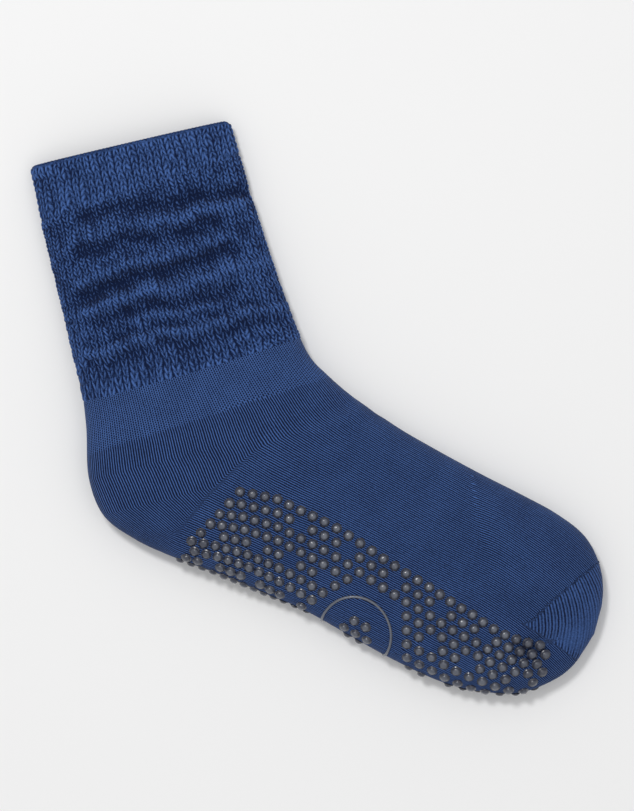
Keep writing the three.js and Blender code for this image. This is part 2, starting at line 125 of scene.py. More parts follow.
def add_node(
    tree: bpy.types.NodeTree,
    kind: str,
    inputs: dict[int | str, Any] | None = None,
    **settings: Any,
) -> bpy.types.Node:
    """Adds a node with its settings, its socket values and its links.

    Args:
        tree: the node tree that takes it.
        kind: the node's type, without its ShaderNode prefix.
        inputs: by input name or number, a value or another node's output socket.
        settings: the node's own properties.

    Returns:
        The new node.
    """
    node = tree.nodes.new("ShaderNode" + kind)
    for name, value in settings.items():
        setattr(node, name, value)
    for socket, value in (inputs or {}).items():
        if isinstance(value, bpy.types.NodeSocket):
            tree.links.new(value, node.inputs[socket])
        else:
            node.inputs[socket].default_value = value
    return node


class Fold(Enum):
    """The two folds of the flattened tube."""

    SOLE = "sole"
    INSTEP = "instep"


class Map(Enum):
    """Names of the maps and attributes that the meshes hand to the finishes."""

    STITCH = "StitchMap"
    BAKE = "OFBake"
    # Yarn relief also sets the knit's tone, so it carries painted shade: dark in the gaps between loops and
    # in crease troughs.
    RELIEF = "yarn_relief_and_shade"
    OPEN = "open_mesh"
    # How strongly the fine rib grooves are painted with shade.
    RIB = "rib_groove_shade"
    # Silicone depth also carries painted shade, dark at each dot's edges and foot.
    DEPTH = "silicone_depth_and_shade"


class Plan(Enum):
    """What the places of a crease are measured from."""

    LEG = "leg"
    FOOT = "foot"


@dataclass(frozen=True)
class LegSection:
    """One section of the leg, in shares of the leg's length and half width."""

    back_up: float
    back_out: float
    front_up: float
    front_out: float
    thick: float
    grip: float = 0.45


@dataclass(frozen=True)
class FootSection:
    """One section of the foot, in shares of the foot's length and width."""

    sole_at: float
    sole_up: float
    instep_at: float
    instep_up: float
    thick: float
    grip: float


@dataclass(frozen=True)
class SlouchFold:
    """A fold across the leg, in shares of the leg's length at its back and at its front."""

    back: float
    front: float
    strength: float


@dataclass(frozen=True)
class Crease:
    """A soft ridge, or a trough where its rise is negative, between two places in millimetres.

    On the leg a place is (height over the ankle, way across from its middle). On the foot it is
    (way along from the heel, height over the sole line).
    """

    start: tuple[float, float]
    end: tuple[float, float]
    rise: float
    spread: float
    plan: Plan = Plan.LEG

    def lift(self, first: np.ndarray, second: np.ndarray) -> np.ndarray:
        """Works out how far the crease lifts the knit.

        Args:
            first: first coordinate of each place, in the crease's own plan.
            second: second coordinate.

        Returns:
            Lifts in millimetres.
        """
        way = np.subtract(self.end, self.start)
        share = ((first - self.start[0]) * way[0] + (second - self.start[1]) * way[1]) / way.dot(way)
        share = np.clip(share, 0.0, 1.0)
        off = np.hypot(first - self.start[0] - share * way[0], second - self.start[1] - share * way[1])
        return self.rise * np.exp(-((off / self.spread) ** 2))


LEG_SECTIONS = (
    LegSection(1.015, 1.016, 0.985, 0.986, 0.54),
    LegSection(0.716, 1.056, 0.706, 0.998, 0.62),
    LegSection(0.417, 1.067, 0.412, 1.021, 0.70),
    LegSection(0.180, 1.083, 0.176, 1.056, 0.80),
    LegSection(0.000, 1.095, 0.000, 1.095, 0.88),
)
FOOT_SECTIONS = (
    FootSection(-0.032, 0.409, 0.266, 1.225, 0.96, 0.44),
    FootSection(0.016, 0.180, 0.286, 1.184, 1.00, 0.43),
    FootSection(0.070, 0.052, 0.308, 1.152, 1.00, 0.42),
    FootSection(0.144, 0.013, 0.333, 1.130, 1.00, 0.41),
    FootSection(0.212, 0.013, 0.361, 1.107, 0.98, 0.41),
    FootSection(0.311, 0.031, 0.407, 1.078, 0.95, 0.455),
    FootSection(0.398, 0.041, 0.456, 1.058, 0.93, 0.48),
    FootSection(0.481, 0.049, 0.505, 1.038, 0.92, 0.475),
    FootSection(0.575, 0.032, 0.575, 1.022, 0.92, 0.45),
    FootSection(0.673, 0.014, 0.675, 1.006, 0.92, 0.44),
    FootSection(0.772, 0.014, 0.766, 0.998, 0.92, 0.415),
    FootSection(0.845, 0.048, 0.841, 0.985, 0.88, 0.385),
    FootSection(0.915, 0.120, 0.907, 0.943, 0.84, 0.36),
    FootSection(0.960, 0.227, 0.955, 0.846, 0.80, 0.26),
    FootSection(0.987, 0.341, 0.985, 0.716, 0.78, 0.25),
    FootSection(1.000, 0.534, 1.000, 0.534, 0.76, 0.25),
)
SLOUCH_FOLDS = (
    SlouchFold(0.63, 0.61, 0.8),
    SlouchFold(0.47, 0.455, 1.0),
    SlouchFold(0.33, 0.32, 0.9),
    SlouchFold(0.14, 0.12, 0.8),
)


@dataclass
class SockForm:
    """The laid sock as one smooth surface, in millimetres from the heel and the sole line.

    A station counts the sections from the collar to the toe. An angle is 0 at the sole fold, rises
    over the upper face to half a turn at the instep fold, and is negative on the underside.
    """

    foot_length: float = 226.0
    foot_width: float = 88.0
    leg_length: float = 93.6
    leg_width: float = 86.4
    leg_lean: float = 40.0
    thickness: float = 24.0
    toe_round: float = 35.0
    edge_share: float = 0.4
    flat_share: float = 0.6
    dome_power: float = 2.3
    ankle_share: tuple[float, float] = (0.088, 0.918)
    print_row: int = 4
    print_height: float = 1.6
    print_ramp: tuple[float, float] = (1.0, 0.2)
    floor_gap: float = 0.3
    lift_ramp: tuple[float, float] = (0.02, 0.13)
    fold_rise: float = 1.3
    fold_spread: float = 4.6
    fold_radius: float = 4.0
    table_step: float = 0.1
    table_facets: int = 240
    table_end: float = 1.001
    least_gap: float = 1e-4
    fold_samples: int = 1500
    edge_samples: int = 400
    nudge: float = 0.004
    halvings: int = 34
    rim_round: float = 0.9
    rim_station_mm: float = 27.0
    shift: np.ndarray = field(init=False)

    def __post_init__(self) -> None:
        """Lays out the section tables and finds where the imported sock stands."""
        lean = math.radians(self.leg_lean)
        self.leg_up = np.array([-math.sin(lean), math.cos(lean)])
        self.leg_across = np.array([math.cos(lean), math.sin(lean)])
        self.ankle = np.multiply(self.ankle_share, (self.foot_length, self.foot_width))
        half = self.leg_width / 2
        foot = (self.foot_length, self.foot_width)
        sole = [self.leg_place(row.back_up, -row.back_out * half) for row in LEG_SECTIONS]
        sole += [np.multiply((row.sole_at, row.sole_up), foot) for row in FOOT_SECTIONS]
        instep = [self.leg_place(row.front_up, row.front_out * half) for row in LEG_SECTIONS]
        instep += [np.multiply((row.instep_at, row.instep_up), foot) for row in FOOT_SECTIONS]
        self.folds = {Fold.SOLE: np.array(sole), Fold.INSTEP: np.array(instep)}
        rows = (*LEG_SECTIONS, *FOOT_SECTIONS)
        self.thick = np.array([row.thick for row in rows]) * self.thickness
        self.grip = np.array([row.grip for row in rows])
        self.first_foot = len(LEG_SECTIONS)
        self.last = len(rows) - 1
        self.print_start = self.first_foot + self.print_row
        self._lay_arc_tables()
        self._find_shift()

    def leg_place(self, up: float, out: float) -> np.ndarray:
        """Finds a place on the leg from shares of its length and millimetres across."""
        return self.ankle + self.leg_up * up * self.leg_length + self.leg_across * out

    def fold_points(self, side: Fold, stations: np.ndarray) -> np.ndarray:
        """Follows a fold's centripetal Catmull-Rom curve.

        Args:
            side: which fold.
            stations: any array of stations.

        Returns:
            Plan places, with one more axis of two.
        """
        points = self.folds[side]
        padded = np.vstack([2 * points[0] - points[1], points, 2 * points[-1] - points[-2]])
        low = np.clip(np.floor(stations).astype(int), 0, self.last - 1)
        share = (stations - low)[..., None]
        p0, p1, p2, p3 = (padded[low + k] for k in range(4))
        gaps = [(((b - a) ** 2).sum(-1) ** 0.25)[..., None] for a, b in ((p0, p1), (p1, p2), (p2, p3))]
        d0, d1, d2 = (np.maximum(gap, self.least_gap) for gap in gaps)
        t1 = ((p1 - p0) / d0 - (p2 - p0) / (d0 + d1) + (p2 - p1) / d1) * d1
        t2 = ((p2 - p1) / d1 - (p3 - p1) / (d1 + d2) + (p3 - p2) / d2) * d1
        bend = 2 * p1 - 2 * p2 + t1 + t2
        return p1 + t1 * share + (-3 * p1 + 3 * p2 - 2 * t1 - t2) * share**2 + bend * share**3

    def leg_plan(self, place: np.ndarray) -> tuple[np.ndarray, np.ndarray]:
        """Gives a plan place's height over the ankle and its way across the leg."""
        off = place - self.ankle
        return off @ self.leg_up, off @ self.leg_across

    def slouch(self, place: np.ndarray) -> np.ndarray:
        """Lifts the leg's slouch folds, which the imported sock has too.

        Args:
            place: plan places.

        Returns:
            Lifts in millimetres.
        """
        height, across = self.leg_plan(place)
        share = np.clip(across / self.leg_width + 0.5, 0, 1)
        rise = np.zeros_like(height)
        for fold in SLOUCH_FOLDS:
            middle = blend(fold.back, fold.front, share) * self.leg_length
            rise += fold.strength * np.exp(-(((height - middle) / self.fold_spread) ** 2))
        return rise * self.fold_rise

    def points(self, stations: np.ndarray, angles: np.ndarray, folded: bool = True) -> np.ndarray:
        """Places points of the outer surface.

        Args:
            stations: one station a point.
            angles: one angle a point, in an array of the same shape.
            folded: whether the slouch folds are in.

        Returns:
            Millimetre places, with one more axis of three.
        """
        stations = np.clip(stations, 0, self.last)
        sole = self.fold_points(Fold.SOLE, stations)
        instep = self.fold_points(Fold.INSTEP, stations)
        across = -np.cos(angles)
        share = (across + 1) / 2
        place = blend(sole, instep, share[..., None])
        rows = np.arange(self.last + 1)
        thick = np.interp(stations, rows, self.thick)
        grip = np.interp(stations, rows, self.grip)
        tip = self.folds[Fold.SOLE][-1][0]
        middle = (sole[..., 0] + instep[..., 0]) / 2
        closing = np.clip((middle - tip + self.toe_round) / self.toe_round, 0, 1)
        open_share = np.where(stations > self.first_foot, np.sqrt(1 - closing**2), 1.0)
        edge = self.edge_share * thick
        reach = np.minimum(np.abs(across), 1)
        dome = (1 - reach**self.dome_power) ** (1 / self.dome_power)
        over = edge + (thick - edge) * open_share * dome
        if folded:
            over = over + np.where(stations < self.first_foot, self.slouch(place) * dome**2, 0.0)
        corner = np.maximum(0, (reach - self.flat_share) / (1 - self.flat_share))
        ramp_from, ramp_to = (self.print_start - before for before in self.print_ramp)
        along = smooth_step(ramp_from, ramp_to, stations)
        clear = 1 - smooth_step(0.0, 1.0, (share - grip - self.lift_ramp[0]) / np.ptp(self.lift_ramp))
        drop = (edge - (self.print_height + self.floor_gap) * along * clear) * open_share
        under = edge - drop * np.sqrt(1 - corner**2)
        height = np.where(np.sin(angles) >= 0, over, under)
        return np.concatenate([place, height[..., None]], axis=-1)

    def normals(self, stations: np.ndarray, angles: np.ndarray) -> np.ndarray:
        """Finds the outward directions of the unfolded surface.

        Args:
            stations: one station a point.
            angles: one angle a point.

        Returns:
            Unit vectors, with one more axis of three.
        """
        low = np.maximum(stations - self.nudge, 0)
        high = np.minimum(stations + self.nudge, self.last - self.nudge)
        along = self.points(high, angles, False) - self.points(low, angles, False)
        spin = self.points(stations, angles + self.nudge, False)
        spin = spin - self.points(stations, angles - self.nudge, False)
        return unit(np.cross(along, spin))

    def seat(self, station: float, angle: float) -> tuple[np.ndarray, np.ndarray]:
        """Gives one place on the unfolded surface, and its outward direction."""
        at, turn = np.array([station]), np.array([angle])
        return self.points(at, turn, False)[0], self.normals(at, turn)[0]

    def _lay_arc_tables(self) -> None:
        """Notes, at regular stations, the angle at each share of the way round each face."""
        self.table_stations = np.arange(0, self.last - self.nudge, self.table_step)
        sweep = np.linspace(0, math.pi, self.table_facets)
        shares = np.linspace(0, 1, self.table_facets)
        self.arc_angles = {}
        self.arc_lengths = {}
        for sign in (1, -1):
            stations = np.repeat(self.table_stations[:, None], len(sweep), axis=1)
            places = self.points(stations, np.broadcast_to(sign * sweep, stations.shape), False)
            steps = np.linalg.norm(np.diff(places, axis=1), axis=-1)
            way = np.concatenate([np.zeros((len(steps), 1)), np.cumsum(steps, axis=1)], axis=1)
            self.arc_lengths[sign] = way[:, -1]
            turns = [np.interp(shares, row / row[-1], sweep) for row in way]
            self.arc_angles[sign] = np.array(turns)

    def angles_at(self, stations: np.ndarray, rounds: np.ndarray) -> np.ndarray:
        """Turns ways round the tube into angles, evenly spaced along the cloth.

        Args:
            stations: one station a point.
            rounds: 0 at the sole fold, 1 at the instep fold, 2 back at the sole fold.

        Returns:
            Angles, positive over the upper face.
        """
        rounds = np.broadcast_to(rounds, stations.shape)
        result = np.zeros(stations.shape)
        for sign, share in ((1, rounds), (-1, 2 - rounds)):
            table = self.arc_angles[sign]
            row = np.clip(stations / self.table_step, 0, len(table) - self.table_end)
            column = np.clip(share, 0, 1) * (self.table_facets - self.table_end)
            i, j = row.astype(int), column.astype(int)
            fi, fj = row - i, column - j
            low = blend(table[i, j], table[i, j + 1], fj)
            high = blend(table[i + 1, j], table[i + 1, j + 1], fj)
            result = np.where((rounds <= 1) == (sign > 0), sign * blend(low, high, fi), result)
        return result

    def _find_shift(self) -> None:
        """Finds the way from this form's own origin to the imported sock's."""
        low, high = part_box("sock_knit")
        lip = self.rim_round / self.rim_station_mm
        stations = np.repeat(np.linspace(lip, self.last, self.edge_samples)[:, None], 2, axis=1)
        edges = self.points(stations, np.broadcast_to([0, math.pi], stations.shape))[..., :2]
        middle = (edges.min((0, 1)) + edges.max((0, 1))) / 2
        packed = np.array([low.x + high.x, low.y + high.y]) / 2 / MM
        self.shift = np.array([*(packed - middle), 0.0])

    def to_row(self, places: np.ndarray) -> np.ndarray:
        """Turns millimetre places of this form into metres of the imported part's frame."""
        return (places + self.shift) * MM

    def locate(self, place: np.ndarray) -> tuple[float, float]:
        """Finds a plan place of the foot on the tube.

        Args:
            place: way along and height over the sole line.

        Returns:
            Its station and its share of the section, from the sole fold.
        """
        low, high = float(self.first_foot), self.last - self.nudge
        for _ in range(self.halvings):
            middle = (low + high) / 2
            sole, instep = self.chord(middle)
            chord, off = instep - sole, place - sole
            low, high = (middle, high) if chord[0] * off[1] < chord[1] * off[0] else (low, middle)
        sole, instep = self.chord(low)
        return low, min(float(np.linalg.norm(place - sole) / np.linalg.norm(instep - sole)), 1.0)

    def chord(self, station: float) -> tuple[np.ndarray, np.ndarray]:
        """Gives the two ends of one section."""
        at = np.array([station])
        return self.fold_points(Fold.SOLE, at)[0], self.fold_points(Fold.INSTEP, at)[0]

    def sole_line(self, along: float) -> float:
        """Finds the height of the sole fold.

        Args:
            along: way along the foot.

        Returns:
            Its height over the sole line in millimetres.
        """
        stations = np.linspace(self.first_foot, self.last - self.nudge, self.fold_samples)
        fold = self.fold_points(Fold.SOLE, stations)
        first = int(np.argmin(fold[:, 0]))
        return float(np.interp(along, fold[first:, 0], fold[first:, 1]))

    def inset_of(self, way: float) -> float:
        """Turns a way round a fold into a way across the laid sock.

        Args:
            way: way round from the fold.

        Returns:
            How far in from the fold the place lies in plan.
        """
        quarter = QUARTER * self.fold_radius
        if way < quarter:
            return self.fold_radius * (1 - math.cos(way / self.fold_radius))
        return way - quarter + self.fold_radius

    def sole_place(self, along: float, way: float) -> tuple[float, float, float]:
        """Finds a place on the sole.

        Args:
            along: way along the foot.
            way: way round from the sole fold, positive on the upper face.

        Returns:
            Station, share of the section and angle.
        """
        place = np.array([along, self.sole_line(along) + self.inset_of(abs(way))])
        station, share = self.locate(place)
        angle = math.acos(1 - 2 * share)
        return station, share, angle if way >= 0 else -angle


FORM = SockForm()


def upness(angles: np.ndarray) -> np.ndarray:
    """Is 1 over the upper face and fades to 0 on the underside."""
    return smooth_step(*UPPER_FADE, np.sin(angles))


def face_share(rounds: np.ndarray) -> np.ndarray:
    """Turns ways round the tube into shares of the way across from the sole fold, on either face."""
    return np.where(rounds <= 1, rounds, 2 - rounds)


def plain_chart(count: int, rounds: np.ndarray, wales: int) -> np.ndarray:
    """Numbers the stitches of a straight tube.

    Args:
        count: rows of places.
        rounds: ways round of its columns.
        wales: wales on each face.

    Returns:
        Wale and row numbers, one row and one column more than the places.
    """
    numbers = np.concatenate([rounds, [2.0]]) * wales
    return np.stack(np.meshgrid(np.arange(count + 1.0), numbers, indexing="ij")[::-1], -1)


def column_rounds(wales: int, over: int, under: int) -> np.ndarray:
    """Spaces the columns of a grid round the tube.

    Args:
        wales: columns of stitches on each face.
        over: grid columns to a wale on the upper face.
        under: grid columns to a wale on the underside.

    Returns:
        Ways round from 0 up to but not including 2.
    """
    top = np.linspace(0, 1, wales * over, endpoint=False)
    bottom = np.linspace(1, 2, wales * under, endpoint=False)
    return np.concatenate([top, bottom])


def put_in_scene(name: str, data: bpy.types.ID) -> bpy.types.Object:
    """Makes an object and links it to the scene.

    Args:
        name: its name.
        data: its mesh, light or camera.

    Returns:
        The new object.
    """
    thing = bpy.data.objects.new(name, data)
    bpy.context.scene.collection.objects.link(thing)
    return thing


def smooth_piece(
    name: str, points: np.ndarray, faces: list[list[int]], values: dict[Map, np.ndarray]
) -> bpy.types.Object:
    """Makes a smoothly shaded piece.

    Args:
        name: name of the piece.
        points: millimetre places.
        faces: its faces.
        values: one number a place for each attribute.

    Returns:
        The new object, in metres in the part's frame.
    """
    mesh = bpy.data.meshes.new(name)
    mesh.from_pydata(FORM.to_row(points).tolist(), [], faces)
    mesh.polygons.foreach_set("use_smooth", np.ones(len(faces), bool))
    for key, value in values.items():
        attribute = mesh.attributes.new(key.value, "FLOAT", "POINT")
        attribute.data.foreach_set("value", value.astype(np.float32))
    return put_in_scene(name, mesh)


def mound_faces(tiers: int, sides: int) -> list[list[int]]:
    """Lists the faces of a small mound: rings of places that close on a tip, and a flat foot.

    Args:
        tiers: how many rings.
        sides: places in each.

    Returns:
        Faces, where the tip comes after the last ring.
    """
    faces = []
    for tier in range(tiers - 1):
        for k in range(sides):
            a, b = tier * sides + k, tier * sides + (k + 1) % sides
            faces.append([a, b, b + sides, a + sides])
    top = (tiers - 1) * sides
    faces += [[top + k, top + (k + 1) % sides, top + sides] for k in range(sides)]
    faces.append(list(range(sides))[::-1])
    return faces


def cloth_mesh(
    name: str,
    rows: np.ndarray,
    stitches: np.ndarray,
    values: dict[Map, np.ndarray],
    ringed: bool,
) -> bpy.types.Object:
    """Makes a closed tube of cloth from rows of places.

    Args:
        name: name of the piece.
        rows: millimetre places, row by row, each row going once round.
        stitches: wale and course numbers, one row and one column more than the places.
        values: one number a place for each attribute.
        ringed: whether the last row joins the first, or else each end closes on its middle.

    Returns:
        The new object, in metres in the part's frame.
    """
    count, across = rows.shape[:2]
    points = rows.reshape(-1, 3)
    last = count if ringed else count - 1
    r, c = np.meshgrid(np.arange(last), np.arange(across), indexing="ij")
    below, beside = (r + 1) % count, (c + 1) % across
    quads = np.stack([r * across + c, r * across + beside, below * across + beside, below * across + c], -1)
    faces = quads.reshape(-1, 4).tolist()
    around = ((0, 0), (0, 1), (1, 1), (1, 0))
    corners = np.stack([np.stack([r + down, c + on], -1) for down, on in around], axis=2).reshape(-1, 2)
    chart = stitches[corners[:, 0], corners[:, 1]]
    sheet = np.stack([corners[:, 1] / across, corners[:, 0] / (last + 2)], -1)
    flat = {key: value.reshape(-1) for key, value in values.items()}
    if not ringed:
        for row, turn in ((0, -1), (count - 1, 1)):
            middle = len(points)
            points = np.vstack([points, rows[row].mean(0)])
            flat = {key: np.append(value, value[row * across]) for key, value in flat.items()}
            for column in range(across):
                pair = [row * across + column, row * across + (column + 1) % across][::turn]
                faces.append([*pair, middle])
                ends = [column, column + 1][::turn]
                tip = stitches[row, ends]
                chart = np.vstack([chart, tip, tip.mean(0, keepdims=True)])
                edge = np.array([[end / across, (row + (turn > 0)) / (last + 2)] for end in ends])
                out = np.array([[(column + 0.5) / across, (row + 0.5 + turn) / (last + 2)]])
                sheet = np.vstack([sheet, edge, np.abs(out)])
    piece = smooth_piece(name, points, faces, flat)
    for key, layer in ((Map.BAKE, sheet), (Map.STITCH, chart)):
        layers = piece.data.uv_layers
        layers.new(name=key.value).data.foreach_set("uv", layer.astype(np.float32).ravel())
    piece.data.update()
    return piece


def settle(piece: bpy.types.Object, slot: str, material: bpy.types.Material, *nodes: str) -> None:
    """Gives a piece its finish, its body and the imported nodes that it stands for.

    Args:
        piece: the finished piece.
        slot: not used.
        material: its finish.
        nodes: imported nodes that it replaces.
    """
    piece.data.materials.append(material)
    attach(piece, BODY)
    if nodes:
        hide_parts(*nodes)
    log.info("%s: %d faces", piece.name, len(piece.data.polygons))


@dataclass(frozen=True)
class CoarseCottonYarn:
    """Cotton-blend yarn, carded and softly spun, knitted coarse: matt, with painted shade in the gaps between
    loops, over the darker navy of the base yarn.
    """

    crest: str = "#4464a0"
    # Gap colour: partly the darker navy base yarn, partly painted shade between the loops.
    gap: str = "#071738"
    roughness: float = 0.92
    sheen: float = 0.06
    fibre_mm: float = 0.7
    fibre_swing: float = 0.27
    cloud_mm: float = 9.0
    fibre_depth_mm: float = 0.15
    fibre_bump: float = 0.6
    tone_range: tuple[float, float] = (0.18, 0.95)

    def material(self) -> bpy.types.Material:
        """Builds the finish, with painted shade where the relief is low, and mottled as carded fibre is.

        Returns:
            The new material.
        """
        material, tree = new_material("coarse_knit_cotton_blend")
        relief = add_node(tree, "Attribute", attribute_name=Map.RELIEF.value)
        fibre, mottle = fibre_tone(tree, self.fibre_mm, self.cloud_mm, self.fibre_swing)
        tone = add_node(tree, "Math", {0: relief.outputs["Fac"], 1: mottle.outputs[0]}, operation="ADD")
        # The ramp paints shade: low relief, in the gaps and crease troughs, takes the dark gap colour.
        ramp = add_node(tree, "ValToRGB", {"Fac": tone.outputs[0]})
        for stop, position, colour in zip(ramp.color_ramp.elements, self.tone_range, (self.gap, self.crest)):
            stop.position = position
            stop.color = linear(colour)
        bump = add_node(tree, "Bump", {"Height": fibre.outputs[0], "Distance": self.fibre_depth_mm * MM,
                                       "Strength": self.fibre_bump})
        cloth_shade(tree, ramp.outputs[0], bump.outputs[0], self.roughness, self.sheen)
        return material


def new_material(name: str) -> tuple[bpy.types.Material, bpy.types.NodeTree]:
    """Makes a material with an empty node tree.

    Args:
        name: its name.

    Returns:
        The material and its tree.
    """
    material = bpy.data.materials.new(name)
    material.use_nodes = True
    material.node_tree.nodes.clear()
    return material, material.node_tree


def fibre_tone(
    tree: bpy.types.NodeTree, fibre_mm: float, cloud_mm: float, depth: float
) -> tuple[bpy.types.Node, bpy.types.Node]:
    """Adds the unevenness of spun yarn: fine fibre, and broad soft clouds.

    The real fibre is some 0.02 mm thick, which is too fine to show, so its grain is drawn coarser.

    Args:
        tree: the node tree that takes it.
        fibre_mm: size of the fibre's grain.
        cloud_mm: size of the clouds.
        depth: how far the fibre's tone swings either way.

    Returns:
        The fibre's noise node, and the node of the whole tone.
    """
    place = add_node(tree, "TexCoord")
    fibre = add_node(tree, "TexNoise", {"Vector": place.outputs["Object"], "Scale": 1 / (fibre_mm * MM),
                                        "Detail": 3.0, "Roughness": 0.65})
    cloud = add_node(tree, "TexNoise", {"Vector": place.outputs["Object"], "Scale": 1 / (cloud_mm * MM),
                                        "Detail": 2.0})
    grain, drift = (
        add_node(tree, "MapRange", {"Value": noise.outputs[0], 1: NOISE_LOW, 2: NOISE_HIGH,
                                    3: -swing, 4: swing})
        for noise, swing in ((fibre, depth), (cloud, CLOUD_SWING))
    )
    return fibre, add_node(tree, "Math", {0: grain.outputs[0], 1: drift.outputs[0]}, operation="ADD")


def cloth_shade(
    tree: bpy.types.NodeTree,
    colour: bpy.types.NodeSocket,
    normal: bpy.types.NodeSocket,
    roughness: float,
    sheen: float,
) -> None:
    """Ends a yarn's tree with a matt shader that keeps the fuzz of loose fibre at its edges.

    Dyed cotton hardly shines, so its specular level is far below the usual half.

    Args:
        tree: the node tree.
        colour: its colour output.
        normal: its bump output.
        roughness: the yarn's roughness.
        sheen: how much fuzz it has.
    """
    shade = add_node(tree, "BsdfPrincipled", {"Base Color": colour, "Normal": normal, "Roughness": roughness,
                                              "Sheen Weight": sheen, "Specular IOR Level": COTTON_SPECULAR})
    add_node(tree, "OutputMaterial", {"Surface": shade.outputs[0]})


@dataclass(frozen=True)
class FineCottonYarn:
    """The same yarn knitted fine: ribs with painted shade in their grooves, and pinholes where the mesh is
    open, painted dark as shade; the dark tone is partly the navy base yarn.
    """

    crest: str = "#4464a0"
    # Gap colour: painted shade in the rib grooves and pinholes, partly the darker navy base yarn.
    gap: str = "#06122e"
    roughness: float = 0.9
    sheen: float = 0.06
    groove_power: float = 0.85
    hole_power: float = 0.5
    gain: float = 1.85
    smooth_tone: float = 0.46
    mesh_tone: float = 0.12
    alternate: float = 0.26
    jitter: float = 0.07
    jitter_mm: float = 2.2
    depth_mm: float = 0.2
    groove_bump: float = 0.7
    fibre_mm: float = 0.7
    fibre_swing: float = 0.2
    cloud_mm: float = 12.0

    def material(self) -> bpy.types.Material:
        """Builds the finish from wale and course numbers in the stitch map.

        Returns:
            The new material.
        """
        material, tree = new_material("fine_knit_cotton_blend")
        chart = add_node(tree, "UVMap", uv_map=Map.STITCH.value)
        place = add_node(tree, "TexCoord")
        stray = add_node(tree, "TexNoise", {"Vector": place.outputs["Object"],
                                            "Scale": 1 / (self.jitter_mm * MM), "Detail": 1.0})
        off = add_node(tree, "VectorMath", {0: stray.outputs[1], 1: (0.5, 0.5, 0.5)}, operation="SUBTRACT")
        small = add_node(tree, "VectorMath", {0: off.outputs[0], "Scale": self.jitter * 4}, operation="SCALE")
        moved = add_node(tree, "VectorMath", {0: chart.outputs[0], 1: small.outputs[0]}, operation="ADD")
        axes = add_node(tree, "SeparateXYZ", {0: moved.outputs[0]})
        # Painted shade: rib grooves, every other one deeper, and pinholes darken the colour towards the gap
        # tone.
        groove = self._wave(tree, axes.outputs[0], TURN, 0.0, self.groove_power)
        wale = add_node(tree, "Math", {0: axes.outputs[0]}, operation="FLOOR")
        stagger = add_node(tree, "Math", {0: wale.outputs[0], 1: 0.5, 2: axes.outputs[1]},
                           operation="MULTIPLY_ADD")
        course = self._wave(tree, stagger.outputs[0], TURN, 0.0, self.hole_power)
        parity = self._wave(tree, axes.outputs[0], TURN / 2, QUARTER, 1.0)
        open_mesh = add_node(tree, "Attribute", attribute_name=Map.OPEN.value)
        rib = add_node(tree, "Attribute", attribute_name=Map.RIB.value)
        closed = add_node(tree, "Math", {0: 1.0, 1: course}, operation="SUBTRACT")
        bridge = add_node(tree, "Math", {0: closed.outputs[0], 1: open_mesh.outputs["Fac"]},
                          operation="MULTIPLY")
        holes = add_node(tree, "Math", {0: 1.0, 1: bridge.outputs[0]}, operation="SUBTRACT")
        paired = add_node(tree, "Math", {0: parity, 1: -self.alternate, 2: 1.0}, operation="MULTIPLY_ADD")
        ribs = add_node(tree, "Math", {0: groove, 1: paired.outputs[0]}, operation="MULTIPLY")
        pierced = add_node(tree, "Math", {0: ribs.outputs[0], 1: holes.outputs[0]}, operation="MULTIPLY")
        # dark is the painted shade of the grooves and pinholes, scaled down in the toe.
        dark = add_node(tree, "Math", {0: pierced.outputs[0], 1: rib.outputs["Fac"]}, operation="MULTIPLY")
        _, mottle = fibre_tone(tree, self.fibre_mm, self.cloud_mm, self.fibre_swing)
        even = add_node(tree, "Math", {0: rib.outputs["Fac"], 1: -self.smooth_tone, 2: self.smooth_tone},
                        operation="MULTIPLY_ADD")
        veil = add_node(tree, "Math", {0: open_mesh.outputs["Fac"], 1: self.mesh_tone, 2: even.outputs[0]},
                        operation="MULTIPLY_ADD")
        ground = add_node(tree, "Math", {0: veil.outputs[0], 1: mottle.outputs[0]}, operation="ADD")
        tone = add_node(tree, "Math", {0: dark.outputs[0], 1: self.gain, 2: ground.outputs[0]},
                        operation="MULTIPLY_ADD", use_clamp=True)
        colour = add_node(tree, "Mix", {0: tone.outputs[0], 6: linear(self.crest), 7: linear(self.gap)},
                          data_type="RGBA")
        bump = add_node(tree, "Bump", {"Height": tone.outputs[0], "Distance": self.depth_mm * MM,
                                       "Strength": self.groove_bump}, invert=True)
        cloth_shade(tree, colour.outputs[2], bump.outputs[0], self.roughness, self.sheen)
        return material

    def _wave(
        self, tree: bpy.types.NodeTree, along: bpy.types.NodeSocket, turn: float, start: float, power: float
    ) -> bpy.types.NodeSocket:
        """Adds a wave along a counted way.

        Args:
            tree: the node tree.
            along: the counted way.
            turn: radians a count.
            start: radians that the wave is held back by.
            power: sharpness of the wave.

        Returns:
            A socket that is 0 at whole counts and 1 half way between them.
        """
        angle = add_node(tree, "Math", {0: along, 1: turn, 2: -start}, operation="MULTIPLY_ADD")
        wave = add_node(tree, "Math", {0: angle.outputs[0]}, operation="COSINE")
        level = add_node(tree, "MapRange", {"Value": wave.outputs[0], 1: 1.0, 2: -1.0, 3: 0.0, 4: 1.0})
        return add_node(tree, "Math", {0: level.outputs[0], 1: power}, operation="POWER").outputs[0]


